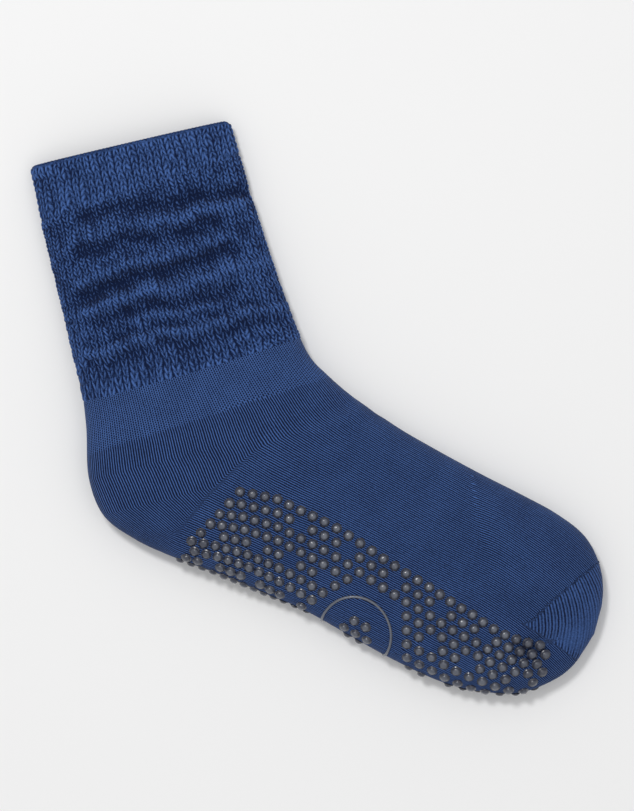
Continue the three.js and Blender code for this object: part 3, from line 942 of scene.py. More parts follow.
@dataclass(frozen=True)
class PrintedSilicone:
    """Silicone, screen printed and cured: grey and softly glossy, dark at the foot of each dot, partly where
    the silicone is thin over the knit and partly painted shade.
    """

    crown: str = "#575c68"
    # Foot colour: partly the knit through thin silicone, partly painted shade at the dot's edges.
    foot: str = "#08102a"
    roughness: float = 0.4
    ior: float = 1.45
    skin: float = 1.0
    skin_roughness: float = 0.22
    clouds_a_metre: float = 900.0
    cloud_swing: float = 0.1
    cloud_depth_mm: float = 0.3
    cloud_bump: float = 0.5

    def material(self) -> bpy.types.Material:
        """Builds the finish, dark where the silicone depth is low: partly the dark knit showing through thin
        silicone, partly painted shade on the dome's edges and foot.

        Returns:
            The new material.
        """
        material, tree = new_material("screen_printed_silicone")
        depth = add_node(tree, "Attribute", attribute_name=Map.DEPTH.value)
        place = add_node(tree, "TexCoord")
        cloud = add_node(tree, "TexNoise", {"Vector": place.outputs["Object"],
                                            "Scale": self.clouds_a_metre, "Detail": 2.0})
        mottle = add_node(tree, "MapRange", {"Value": cloud.outputs[0], 1: NOISE_LOW, 2: NOISE_HIGH,
                                             3: -self.cloud_swing, 4: self.cloud_swing})
        tone = add_node(tree, "Math", {0: depth.outputs["Fac"], 1: mottle.outputs[0]}, operation="ADD",
                        use_clamp=True)
        colour = add_node(tree, "Mix", {0: tone.outputs[0], 6: linear(self.foot), 7: linear(self.crown)},
                          data_type="RGBA")
        bump = add_node(tree, "Bump", {"Height": cloud.outputs[0], "Distance": self.cloud_depth_mm * MM,
                                       "Strength": self.cloud_bump})
        look = {"Base Color": colour.outputs[2], "Roughness": self.roughness, "IOR": self.ior,
                "Coat Weight": self.skin, "Coat Roughness": self.skin_roughness,
                "Normal": bump.outputs[0], "Coat Normal": bump.outputs[0]}
        shade = add_node(tree, "BsdfPrincipled", look)
        add_node(tree, "OutputMaterial", {"Surface": shade.outputs[0]})
        return material


@dataclass(frozen=True)
class PaintedBoard:
    """Matt painted board for the floor, which gives a plain pale ground."""

    colour: str = "#eeeeee"
    roughness: float = 0.95

    def material(self) -> bpy.types.Material:
        """Builds the finish.

        Returns:
            The new material.
        """
        material = bpy.data.materials.new("matt_painted_board")
        material.use_nodes = True
        shade = material.node_tree.nodes["Principled BSDF"]
        shade.inputs["Base Color"].default_value = linear(self.colour)
        shade.inputs["Roughness"].default_value = self.roughness
        return material


@dataclass(frozen=True)
class Chevron:
    """Relief of one knit stitch: two legs of yarn that lean out from the wale's middle."""

    lean: float
    height_mm: float
    stray: float = 0.22
    stray_seeds: tuple[int, int] = (5, 6)
    stray_scales: tuple[float, float] = (1.1, 0.9)
    swell: float = 0.3
    floor: float = 0.32
    strand_power: float = 0.75
    leg_width: float = 2.05
    leg_at: float = 0.94
    leg_power: float = 0.8

    def relief(self, wales: np.ndarray, courses: np.ndarray) -> np.ndarray:
        """Works out the relief of the yarn.

        Args:
            wales: wale numbers, whole in the middle of a wale.
            courses: course numbers, counted down from the collar.

        Returns:
            0 in the gaps to 1 on the yarn.
        """
        near, far = self.stray_scales
        loose = wobble(wales * near, courses * far, self.stray_seeds[0])
        wales = wales + self.stray * loose
        courses = courses + self.stray * wobble(wales * far, courses * near, self.stray_seeds[1])
        side = np.abs(wales - np.round(wales)) * 2
        strand = 0.5 + 0.5 * np.cos(TURN * (courses + self.lean * side))
        crown = np.clip(1 - (self.leg_width * side - self.leg_at) ** 2, 0, 1) ** self.leg_power
        body = blend(self.floor, 1.0, strand**self.strand_power)
        return np.clip(crown * body * (1 + self.swell * loose), 0, 1)


LEG_CREASES = (
    Crease((59.8, -38.3), (57.0, 38.0), 0.9, 3.0),
    Crease((43.8, -36.0), (42.7, 29.7), 1.0, 2.8),
    Crease((30.9, -37.2), (30.1, 39.6), 1.0, 2.6),
    Crease((12.4, -42.2), (11.5, 43.4), 0.9, 3.2),
    Crease((20.5, -20.0), (18.6, 20.0), 0.6, 1.8),
    Crease((69.9, -26.8), (61.5, 41.4), -2.0, 3.0),
    Crease((56.1, -32.7), (51.5, 25.5), -2.0, 3.6),
    Crease((37.1, -35.6), (39.6, 28.9), -2.4, 3.4),
    Crease((25.7, -34.2), (22.6, 26.6), -1.8, 2.6),
    Crease((16.0, -39.0), (13.6, 43.9), -1.2, 1.8),
    Crease((8.2, -38.9), (5.3, 41.7), -1.2, 2.6),
)
# Painted shade in the crease troughs and painted light on the ridges: the crease lift also shifts the yarn's
# tone.
CREASE_PAINTED_SHADING = 0.145
LONG_WANDER = (0.9, 0.15, 0.4)
SHORT_WANDER = (0.5, 0.37, 0.05)


def crease_lift(creases: tuple[Crease, ...], places: np.ndarray) -> np.ndarray:
    """Adds up what a set of creases lifts at plan places, where leg creases wander a little.

    Args:
        creases: the creases.
        places: millimetre places, of which the first two coordinates count.

    Returns:
        Lifts in millimetres.
    """
    plan = places[..., :2]
    height, across = FORM.leg_plan(plan)
    (long, long_turn, start), (short, short_turn, skew) = LONG_WANDER, SHORT_WANDER
    height = (height + long * np.sin(across * long_turn + start)
              + short * np.sin(across * short_turn + height * skew))
    total = np.zeros(height.shape)
    for crease in creases:
        first, second = (height, across) if crease.plan is Plan.LEG else (plan[..., 0], plan[..., 1])
        total += crease.lift(first, second)
    return total


def grid_normals(rows: np.ndarray) -> np.ndarray:
    """Finds the outward directions of rows of places that each go once round.

    Args:
        rows: millimetre places.

    Returns:
        Unit vectors of the same shape.
    """
    along = np.gradient(rows, axis=0)
    spin = np.roll(rows, -1, axis=1) - np.roll(rows, 1, axis=1)
    return unit(np.cross(along, spin))


def sunk_lining(stations: np.ndarray, angles: np.ndarray, wall: float, drop: Any) -> np.ndarray:
    """Places the inner face of the leg's cloth, clear below the outer face's troughs.

    Args:
        stations: one station a point.
        angles: one angle a point.
        wall: thickness of the cloth in millimetres.
        drop: how much lower it lies under the middle of the upper face, in millimetres.

    Returns:
        Millimetre places.
    """
    places = FORM.points(stations, angles)
    lift = np.minimum(crease_lift(LEG_CREASES, places) * upness(angles), 0.0) - wall
    lift = lift - drop * smooth_step(*LINING_FADE, np.sin(angles))
    return places + FORM.normals(stations, angles) * lift[..., None]


def keep_off_floor(rows: np.ndarray, least: float = 0.05) -> np.ndarray:
    """Keeps cloth from sinking below the floor that it lies on."""
    rows[..., 2] = np.maximum(rows[..., 2], least)
    return rows


@dataclass
class Cuff:
    """The turned welt at the collar, knitted coarse, with a rounded rim."""

    wales: int = 28
    course_mm: float = 2.76
    over_columns: int = 10
    under_columns: int = 5
    rows_per_course: int = 8
    wall: float = 2.3
    inside_depth: float = 23.0
    lining_drop: float = 1.8
    end_back: float = 0.86
    end_front: float = 0.58
    smooth_band: float = 1.4
    station_mm: tuple[float, float] = (28.0, 26.1)
    corner_mm: float = 3.2
    corner_share: float = 0.045
    corner_fullness: float = 0.96
    plain_relief: float = 0.45
    middle_relief: float = 0.55
    lining_relief: float = 0.4
    lining_rows: int = 16
    drop_over: tuple[float, float] = (6.0, 16.0)
    stands_out: float = 0.3
    tuck: float = 0.8
    tuck_over: float = 1.6
    rim_rise: tuple[float, float] = (1.0, 0.15)
    rim_relief: tuple[float, float] = (0.25, 0.2)
    stitch: Chevron = Chevron(-1.05, 0.9)

    def build(self, material: bpy.types.Material) -> None:
        """Knits the welt and places it.

        Args:
            material: its yarn.
        """
        rounds = column_rounds(self.wales, self.over_columns, self.under_columns)
        share = face_share(rounds)
        end = blend(self.end_back, self.end_front, share)
        depth_per_station = np.interp(share, [0, 1], self.station_mm)
        length = end * depth_per_station
        count = int(length.max() / self.course_mm * self.rows_per_course)
        corner = self._corner(share)
        down = blend(corner, length, np.linspace(1, 0, count)[:, None])
        stations = down / depth_per_station
        angles = FORM.angles_at(stations, rounds)
        outer = FORM.points(stations, angles)
        normal = FORM.normals(stations, angles)
        wales = np.broadcast_to(rounds, stations.shape) * self.wales
        relief = self.stitch.relief(wales, down / self.course_mm)
        relief = blend(self.plain_relief, relief, smooth_step(0.0, self.smooth_band, down))
        tucked = smooth_step(self.tuck_over, 0.0, length - down)
        macro = crease_lift(LEG_CREASES, outer) * upness(angles)
        lift = (relief - self.middle_relief) * self.stitch.height_mm + macro
        lift = lift + self.stands_out - tucked * self.tuck
        # Painted shade in the troughs and painted light on the ridges of the creases.
        relief = relief + CREASE_PAINTED_SHADING * macro
        outer = outer + normal * lift[..., None]
        rim, rim_value = self._rim(outer[-1], normal[-1], rounds)
        inner_down = blend(corner, self.inside_depth, np.linspace(0, 1, self.lining_rows)[:, None])
        inner_stations = inner_down / depth_per_station
        inner_angles = FORM.angles_at(inner_stations, rounds)
        drop = self.lining_drop * smooth_step(*self.drop_over, inner_down)
        inner = sunk_lining(inner_stations, inner_angles, self.wall, drop)
        rows = keep_off_floor(np.concatenate([outer, rim, inner]))
        inside_value = np.full(inner.shape[:2], self.lining_relief)
        value = np.concatenate([relief, rim_value, inside_value])
        chart = plain_chart(len(rows), rounds, self.wales)
        piece = cloth_mesh("cuff_knit", rows, chart, {Map.RELIEF: value}, True)
        settle(piece, "knit", material, "sock_knit")

    def _corner(self, share: np.ndarray) -> np.ndarray:
        """Rounds the rim off at the two folds.

        Args:
            share: shares of the way across from the back fold.

        Returns:
            How far down the rim starts, in millimetres.
        """
        reach = np.clip((np.abs(share - 0.5) - 0.5 + self.corner_share) / self.corner_share, 0, 1)
        size = np.where(share > 0.5, self.corner_mm, self.corner_mm / 2)
        return size * (1 - np.sqrt(1 - self.corner_fullness * reach**2))

    def _rim(self, top: np.ndarray, normal: np.ndarray, rounds: np.ndarray) -> tuple[np.ndarray, np.ndarray]:
        """Rolls the cloth over the rim, with a small bump for each turned loop.

        Args:
            top: the outer surface's row at the rim.
            normal: its outward directions.
            rounds: ways round of its columns.

        Returns:
            The rows over the rim, and their relief.
        """
        up = np.array([*FORM.leg_up, 0.0])
        steps = np.linspace(0, math.pi, 8)[1:-1]
        half = self.wall / 2
        bumps = 0.5 + 0.5 * np.cos(TURN * rounds * self.wales * 2)
        rows = []
        for step in steps:
            inward = half * (1 - math.cos(step))
            rise = (self.rim_rise[0] + self.rim_rise[1] * bumps) * math.sin(step)
            rows.append(top - normal * inward + up * rise[:, None])
        low, swing = self.rim_relief
        value = np.stack([low + swing * bumps * math.sin(step) for step in steps])
        return np.array(rows), value


@dataclass
class Leg:
    """The slouched leg, knitted coarse from the welt to the fine band over the ankle."""

    wales: int = 29
    over_columns: int = 10
    under_columns: int = 3
    rows_per_course: int = 6
    fold_course_mm: float = 2.1
    flat_course_mm: float = 2.9
    flat_below: float = 10.0
    top_back: float = 0.82
    top_front: float = 0.54
    end_back: float = 4.45
    end_front: float = 4.9
    wall: float = 1.6
    lining_drop: float = 2.2
    darker: float = 0.1
    ramp_mm: float = 5.0
    samples: int = 400
    loop_reach: float = 0.05
    middle_relief: float = 0.5
    end_courses: tuple[float, float] = (0.8, 0.5)
    low_courses: float = 2.0
    low_height: float = 0.5
    stands_out: tuple[float, float] = (0.3, 0.12)
    tuck: float = 0.5
    lining_rows: int = 24
    lining_relief: float = 0.4
    stitch: Chevron = Chevron(1.05, 0.85)

    def build(self, material: bpy.types.Material) -> None:
        """Knits the leg and places it.

        Args:
            material: its yarn.
        """
        rounds = column_rounds(self.wales, self.over_columns, self.under_columns)
        share = face_share(rounds)
        first = blend(self.top_back, self.top_front, share)
        last = blend(self.end_back, self.end_front, share)
        middle = np.linspace(blend(self.top_back, self.top_front, 0.5),
                             blend(self.end_back, self.end_front, 0.5), self.samples)
        chords = blend(FORM.fold_points(Fold.SOLE, middle), FORM.fold_points(Fold.INSTEP, middle), 0.5)
        height = FORM.leg_plan(chords)[0]
        pitch = blend(self.flat_course_mm, self.fold_course_mm,
                      smooth_step(self.flat_below - self.ramp_mm, self.flat_below + self.ramp_mm, height))
        steps = np.abs(np.diff(height)) / ((pitch[1:] + pitch[:-1]) / 2)
        counted = np.concatenate([[0], np.cumsum(steps)])
        count = int(round(counted[-1]))
        counted *= count / counted[-1]
        courses = np.linspace(0, count, count * self.rows_per_course + 1)
        ways = np.interp(courses, counted, np.linspace(0, 1, self.samples))[:, None]
        loops = self.loop_reach * (0.5 - 0.5 * np.cos(TURN * rounds * self.wales))
        stations = blend(first, last - loops, ways)
        angles = FORM.angles_at(stations, rounds)
        outer = FORM.points(stations, angles)
        normal = FORM.normals(stations, angles)
        numbers = np.broadcast_to(courses[:, None], stations.shape)
        relief = self.stitch.relief(np.broadcast_to(rounds, stations.shape) * self.wales, numbers)
        macro = crease_lift(LEG_CREASES, outer) * upness(angles)
        upper_end, lower_end = self.end_courses
        tucked = np.maximum(smooth_step(upper_end, 0.0, numbers),
                            smooth_step(lower_end, 0.0, count - numbers))
        low = smooth_step(self.low_courses, 0.0, count - numbers)
        height_mm = self.stitch.height_mm * blend(1.0, self.low_height, low)
        lift = (relief - self.middle_relief) * height_mm + macro
        lift = lift + blend(*self.stands_out, low) - self.tuck * tucked
        # Painted shade in the troughs and painted light on the ridges of the creases.
        relief = relief + CREASE_PAINTED_SHADING * macro - self.darker * (1 - low)
        outer = outer + normal * lift[..., None]
        inner_stations = blend(first, last, np.linspace(1, 0, self.lining_rows)[:, None])
        inner_angles = FORM.angles_at(inner_stations, rounds)
        inner = sunk_lining(inner_stations, inner_angles, self.wall, self.lining_drop)
        rows = keep_off_floor(np.concatenate([outer, inner]))
        value = np.concatenate([relief, np.full(inner.shape[:2], self.lining_relief)])
        chart = plain_chart(len(rows), rounds, self.wales)
        piece = cloth_mesh("leg_knit", rows, chart, {Map.RELIEF: value}, True)
        settle(piece, "knit", material, "sock_knit")


@dataclass
class Foot:
    """Heel, foot and toe, knitted fine: ribs down the heel, round the gore and along the foot."""

    wales: int = 104
    course_mm: float = 1.0
    over_columns: int = 230
    under_columns: int = 52
    top_back: float = 4.33
    top_front: float = 4.78
    wall: float = 1.6
    toe_wale: float = 1.47
    toe_level: float = -50.1
    toe_arch: float = 0.013
    even_width: float = 88.0
    probe: float = 0.4
    finest_wale: float = 0.8
    least_level: float = 0.05
    groove: float = 0.1
    mismatch_fade: float = 32.0
    lean: float = 25.0
    gore_slope: float = 0.85
    bend_width: float = 1.5
    bend_spread: float = 0.8
    gore_narrows: float = 0.2
    gore_least: float = 0.7
    heel_spread: float = 0.5
    course_from: float = 53.5
    even_from: tuple[float, float] = (140.0, 185.0)
    band_edge: tuple[float, float] = (-27.6, -25.6)
    band_lean: float = 0.05
    rib_open: float = 0.35
    cap_from: tuple[float, float] = (190.0, 205.0)
    cap_to: tuple[float, float] = (210.0, 222.0)
    toe_depth: tuple[float, float] = (0.45, 0.2)
    toe_depth_over: tuple[float, float] = (8.0, 20.0)
    seam_over: tuple[float, float] = (-4.0, 2.0)
    under_groove: float = 0.4
    toe_end: float = 0.04
    toe_power: float = 1.3
    lining_end: float = 0.985
    heel_tuck_over: float = 0.02
    heel_rows: int = 120
    foot_rows: int = 130
    toe_rows: int = 64
    foot_span: tuple[float, float] = (9.0, 18.0)
    lining_rows: int = 36
    tuck: float = 0.6
    batch: int = 4000
    edge_from: int = 2
    edge_samples: int = 260
    least_width: float = 0.1
    bend_length: float = 30.0
    bend_samples: int = 16
    vertex: tuple[float, float] = (63.5, 59.2)
    bend_end: tuple[float, float] = (44.4, 77.0)
    bend_heights: tuple[float, float] = (-23.0, -38.0)
    toe_turn: float = 0.0036
    toe_turn_from: float = 165.0
    gore: tuple[tuple[float, float], ...] = (
        (-10.0, 40.0), (12.8, 47.6), (30.4, 52.1), (41.7, 56.2), (59.2, 63.5))
    toe_seam: tuple[tuple[float, float], ...] = (
        (20.0, 236.0), (34.0, 224.0), (36.3, 211.6), (38.7, 195.5), (41.6, 198.8),
        (50.7, 202.1), (59.7, 206.3), (65.1, 208.9), (72.6, 212.9), (90.0, 221.0))
    heel_back: tuple[tuple[float, float], ...] = (
        (-92.2, -11.7), (-79.6, -29.0), (-69.2, -41.6), (-55.7, -52.1), (-39.3, -54.3),
        (-16.8, -49.6), (0.1, -47.3))
    heel_front: tuple[tuple[float, float], ...] = (
        (-60.0, 68.0), (-45.0, 66.0), (-30.0, 61.0), (-15.0, 53.5), (0.0, 47.3))

    def rows(self) -> tuple[np.ndarray, np.ndarray]:
        """Spaces the rows of the grid: close in the heel and the toe, wider along the foot.

        Returns:
            Shares of the way down the heel, and the stations past it.
        """
        heel = np.linspace(0, 1, self.heel_rows, endpoint=False)
        first = np.linspace(*self.foot_span, self.foot_rows, endpoint=False)
        ways = np.linspace(1, self.toe_end, self.toe_rows) ** self.toe_power
        toe = FORM.last - (FORM.last - self.foot_span[1]) * ways
        return heel, np.concatenate([first, toe])

    def charted(self, places: np.ndarray) -> tuple[np.ndarray, np.ndarray, np.ndarray]:
        """Numbers the wales and courses at plan places.

        Args:
            places: millimetre places.

        Returns:
            Wale numbers, course numbers, and the share of the foot's own direction in them.
        """
        plan = places[..., :2]
        height = FORM.leg_plan(plan)[0]
        heel_share, foot_share = self._heel_share(plan), self._foot_share(plan)
        height_up = plan[..., 1]
        off = plan - self.vertex
        way = np.subtract(self.bend_end, self.vertex)
        way = way / np.linalg.norm(way)
        square = np.array([way[1], -way[0]])
        beside = off @ square
        past = np.where(height_up > self.vertex[1], beside,
                        (plan[..., 0] - np.interp(height_up, *np.transpose(self.gore))) * self.gore_slope)
        below_vertex = np.maximum(0, self.vertex[1] - height_up)
        foot_end = self.gore[1][0]
        over_gore = self.bend_width + self.bend_spread * np.maximum(off @ way, 0)
        in_gore = np.maximum(self.bend_width - below_vertex * self.gore_narrows, self.gore_least)
        in_gore = in_gore + np.maximum(0, foot_end - height_up) * self.heel_spread
        wide = np.where(height_up > self.vertex[1], over_gore, in_gore)
        turned = smooth_step(-1.0, 1.0, past / wide) * smooth_step(*self.bend_heights, height)
        fading = np.exp(-np.maximum(beside, 0) / self.mismatch_fade)
        foot_share = foot_share + self._mismatch(off @ way) * fading
        wales = blend(heel_share, foot_share, turned) * self.wales
        courses = blend(-height, plan[..., 0] - self.course_from, turned) / self.course_mm
        lean = math.radians(self.lean)
        right = plan[..., 0] * math.cos(lean) + plan[..., 1] * math.sin(lean)
        off_level = plan[..., 1] * math.cos(lean) - plan[..., 0] * math.sin(lean) - self.toe_level
        capped = (right + self.toe_arch * off_level**2) / self.toe_wale
        closed = plan[..., 0] > np.interp(height_up, *np.transpose(self.toe_seam))
        wales = np.where(closed, capped, wales)
        courses = np.where(closed, off_level / self.course_mm, courses)
        return wales, courses, turned

    def _heel_share(self, plan: np.ndarray) -> np.ndarray:
        """Gives the share of the way across the leg and the heel pocket.

        Args:
            plan: plan places.

        Returns:
            Shares from the back fold to the front one.
        """
        height, across = FORM.leg_plan(plan)
        back = np.interp(height, *np.transpose(self.heel_back))
        front = np.interp(height, *np.transpose(self.heel_front))
        return (across - back) / (front - back)

    def _foot_share(self, plan: np.ndarray) -> np.ndarray:
        """Gives the share of the way from the sole's edge to the instep's, whose lines the ribs keep.

        Args:
            plan: plan places.

        Returns:
            Shares that go on below 0 and above 1 past the two edges.
        """
        stations = np.linspace(self.edge_from, FORM.last, self.edge_samples)
        gaps = []
        for side in (Fold.SOLE, Fold.INSTEP):
            line = FORM.fold_points(side, stations)
            way = np.gradient(line, axis=0)
            way = way / np.linalg.norm(way, axis=-1, keepdims=True)
            flat = plan.reshape(-1, 2)
            nearest = np.concatenate([((part[:, None] - line) ** 2).sum(-1).argmin(1)
                                      for part in np.array_split(flat, len(flat) // self.batch + 1)])
            off, way = flat - line[nearest], way[nearest]
            inward = 1 if side is Fold.SOLE else -1
            gap = inward * (way[:, 0] * off[:, 1] - way[:, 1] * off[:, 0])
            gaps.append(gap.reshape(plan.shape[:-1]))
        share = gaps[0] / np.maximum(gaps[0] + gaps[1], self.least_width)
        turned = self.toe_turn * np.maximum(plan[..., 0] - self.toe_turn_from, 0) ** 2
        even = (plan[..., 1] + turned) / self.even_width
        return blend(share, even, smooth_step(*self.even_from, plan[..., 0]))

    def _mismatch(self, along: np.ndarray) -> np.ndarray:
        """Says how far the two charts differ along the bend over the ankle.

        Args:
            along: ways along the bend, in millimetres.

        Returns:
            Differences in shares of the width.
        """
        ways = np.linspace(0, self.bend_length, self.bend_samples)
        direction = np.subtract(self.bend_end, self.vertex)
        places = self.vertex + ways[:, None] * direction / np.linalg.norm(direction)
        return np.interp(along, ways, self._heel_share(places) - self._foot_share(places))

    def build(self, material: bpy.types.Material) -> None:
        """Knits the foot and places it.

        Args:
            material: its yarn.
        """
        top = np.linspace(0, 1, self.over_columns, endpoint=False)
        rounds = np.concatenate([top, np.linspace(1, 2, self.under_columns, endpoint=False)])
        share = face_share(rounds)
        first = blend(self.top_back, self.top_front, share)
        heel, rest = self.rows()
        heel_rows = blend(first, rest[0], heel[:, None])
        stations = np.concatenate([heel_rows, np.broadcast_to(rest[:, None], (len(rest), len(rounds)))])
        angles = FORM.angles_at(stations, rounds)
        outer = FORM.points(stations, angles)
        normal = grid_normals(outer)
        wales, courses, turned = self.charted(outer)
        wales, courses = self._wrapped(outer, normal, wales, courses)
        up = upness(angles)
        groove = 0.5 + 0.5 * np.sin(TURN / 2 * wales)
        lift = -self.groove * groove * blend(self.under_groove, 1.0, up)
        lift = lift + crease_lift(FOOT_CREASES, outer) * up
        edge = smooth_step(0.0, self.heel_tuck_over, heel)[:, None] * np.ones(len(rounds))
        tuck = np.concatenate([edge, np.ones((len(rest), len(rounds)))])
        lift = lift - self.tuck * (1 - tuck)
        outer = outer + normal * lift[..., None]
        inside = np.linspace(self.lining_end, 0, self.lining_rows)
        inner_stations = blend(first, FORM.last, inside[:, None])
        inner_angles = FORM.angles_at(inner_stations, rounds)
        inner = FORM.points(inner_stations, inner_angles, False)
        inner = inner - grid_normals(inner[::-1])[::-1] * self.wall
        rows = keep_off_floor(np.concatenate([inner, outer]))
        inside_value = np.full(inner.shape[:2], 0.5)
        values = {Map.OPEN: np.concatenate([inside_value, self._open_mesh(outer, turned)]),
                  Map.RIB: np.concatenate([inside_value, self._rib_depth(outer)])}
        chart = self._chart(rows, wales, courses, len(inner))
        piece = cloth_mesh("foot_knit", rows, chart, values, False)
        settle(piece, "knit", material, "sock_knit")

    def _wrapped(
        self, places: np.ndarray, normal: np.ndarray, wales: np.ndarray, courses: np.ndarray
    ) -> tuple[np.ndarray, np.ndarray]:
        """Carries the stitch numbers on evenly down the side walls and under the sock.

        Args:
            places: millimetre places, row by row.
            normal: their outward directions.
            wales: wale numbers read off the plan.
            courses: course numbers read off the plan.

        Returns:
            Wale and course numbers that follow the cloth's own length.
        """
        over, middle = self.over_columns, self.over_columns // 2
        steps = np.linalg.norm(np.diff(places, axis=1, append=places[:, :1]), axis=-1)
        flat = np.linalg.norm(np.diff(places[..., :2], axis=1, append=places[:, :1, :2]), axis=-1)
        hidden = np.cumsum(np.insert(steps - flat, 0, 0.0, axis=1), axis=1)[:, : over + 1]
        down = np.diff(places[:, middle], axis=0, prepend=places[:1, middle])
        sunk = np.cumsum(np.linalg.norm(down, axis=-1) - np.linalg.norm(down[:, :2], axis=-1))
        hidden = np.abs(hidden - hidden[:, middle : middle + 1]) + sunk[:, None]
        level = np.linalg.norm(normal[..., :2], axis=-1, keepdims=True)
        ahead = places.copy()
        ahead[..., :2] += normal[..., :2] / np.maximum(level, self.least_level) * self.probe
        further = self.charted(ahead)
        along = np.cumsum(np.insert(steps, 0, 0.0, axis=1), axis=1)
        half = over + self.under_columns // 2
        found = []
        finest_steps = (self.finest_wale, self.course_mm)
        for numbers, moved, finest in zip((wales, courses), further, finest_steps):
            slope = np.clip((moved - numbers) / self.probe, -1 / finest, 1 / finest)
            wrapped = numbers.copy()
            wrapped[:, : over + 1] += slope[:, : over + 1] * hidden
            past_instep = along[:, over:half] - along[:, over : over + 1]
            wrapped[:, over:half] = wrapped[:, over : over + 1] + slope[:, over : over + 1] * past_instep
            past_sole = along[:, -1:] - along[:, half:-1]
            wrapped[:, half:] = wrapped[:, :1] + slope[:, :1] * past_sole
            found.append(wrapped)
        return found[0], found[1]

    def _chart(self, rows: np.ndarray, wales: np.ndarray, courses: np.ndarray, inner: int) -> np.ndarray:
        """Lays out wale and course numbers for every place, and for the seam of the grid.

        Args:
            rows: millimetre places, the lining's rows first.
            wales: wale numbers of the outer rows.
            courses: their course numbers.
            inner: how many rows the lining has.

        Returns:
            Wale and course numbers, one row and one column more than the places.
        """
        numbers = np.zeros((*rows.shape[:2], 2))
        numbers[inner:, :, 0] = wales
        numbers[inner:, :, 1] = courses
        numbers[:inner, :, 0], numbers[:inner, :, 1], _ = self.charted(rows[:inner])
        numbers = np.concatenate([numbers, numbers[:, :1]], axis=1)
        return np.concatenate([numbers, numbers[-1:]], axis=0)

    def _open_mesh(self, places: np.ndarray, turned: np.ndarray) -> np.ndarray:
        """Says how open the knit is: fully in the band over the ankle, less in the ribs.

        Args:
            places: millimetre places.
            turned: the share of the foot's own direction at each.

        Returns:
            Shares from 0, closed, to 1, open.
        """
        height, across = FORM.leg_plan(places[..., :2])
        band = smooth_step(*self.band_edge, height - self.band_lean * across)
        along = places[..., 0]
        cap = smooth_step(*self.cap_from, along) - smooth_step(*self.cap_to, along)
        return np.clip(band + self.rib_open * turned * (1 - cap), 0, 1)

    def _rib_depth(self, places: np.ndarray) -> np.ndarray:
        """Says how strongly the rib grooves are painted with shade: least in the toe, where the cloth is
        stretched smooth.

        Args:
            places: millimetre places.

        Returns:
            Shares of the full depth.
        """
        closed = places[..., 0] - np.interp(places[..., 1], *np.transpose(self.toe_seam))
        in_toe = blend(*self.toe_depth, smooth_step(*self.toe_depth_over, closed))
        return blend(1.0, in_toe, smooth_step(*self.seam_over, closed))


FOOT_CREASES = (
    Crease((70.1, 70.2), (88.7, 90.6), -1.0, 3.4, Plan.FOOT),
    Crease((89.1, 69.7), (102.1, 92.2), -0.8, 3.4, Plan.FOOT),
    Crease((80.0, 71.0), (95.0, 90.0), 0.6, 3.0, Plan.FOOT),
    Crease((206.0, 33.0), (213.0, 39.0), -1.6, 4.5, Plan.FOOT),
    Crease((200.0, 28.0), (206.0, 33.0), -1.0, 3.5, Plan.FOOT),
)


@dataclass(frozen=True)
class PrintColumn:
    """Where a column of the print starts on its reference row, and how it goes on down the rows.

    The place and the slide are in pitches of the dots, along the foot. The way round is a share of
    the foot's width, and the step from row to row is in pitches.
    """

    column: int
    place: float
    slide: float
    way: float
    step: float


PRINT_COLUMNS = (
    PrintColumn(-20, -18.55, 0.024, 0.245, 0.64),
    PrintColumn(-14, -13.15, 0.024, 0.245, 0.64),
    PrintColumn(-11, -10.44, 0.021, 0.292, 0.74),
    PrintColumn(-8, -7.89, 0.012, 0.332, 0.86),
    PrintColumn(-5, -5.14, -0.034, 0.351, 0.97),
    PrintColumn(-1, -1.20, -0.064, 0.333, 1.0),
    PrintColumn(4, 4.12, -0.046, 0.312, 0.967),
    PrintColumn(8, 8.31, -0.004, 0.301, 0.955),
    PrintColumn(12, 12.39, 0.084, 0.265, 0.982),
    PrintColumn(15, 15.45, 0.151, 0.210, 0.978),
    PrintColumn(18, 18.34, 0.189, 0.168, 0.955),
)
LEFT_OUT = {
    -1: (-3, 1, 5, 9, 13),
    2: (-11, -7, -4, -1, 8, 11, 15),
    5: (-12, -8, -4, 8, 12, 16),
    8: (-14, -10, -6, -2, 6, 10, 14),
    11: (-13, -9, -5, -1, 3, 7, 11),
}


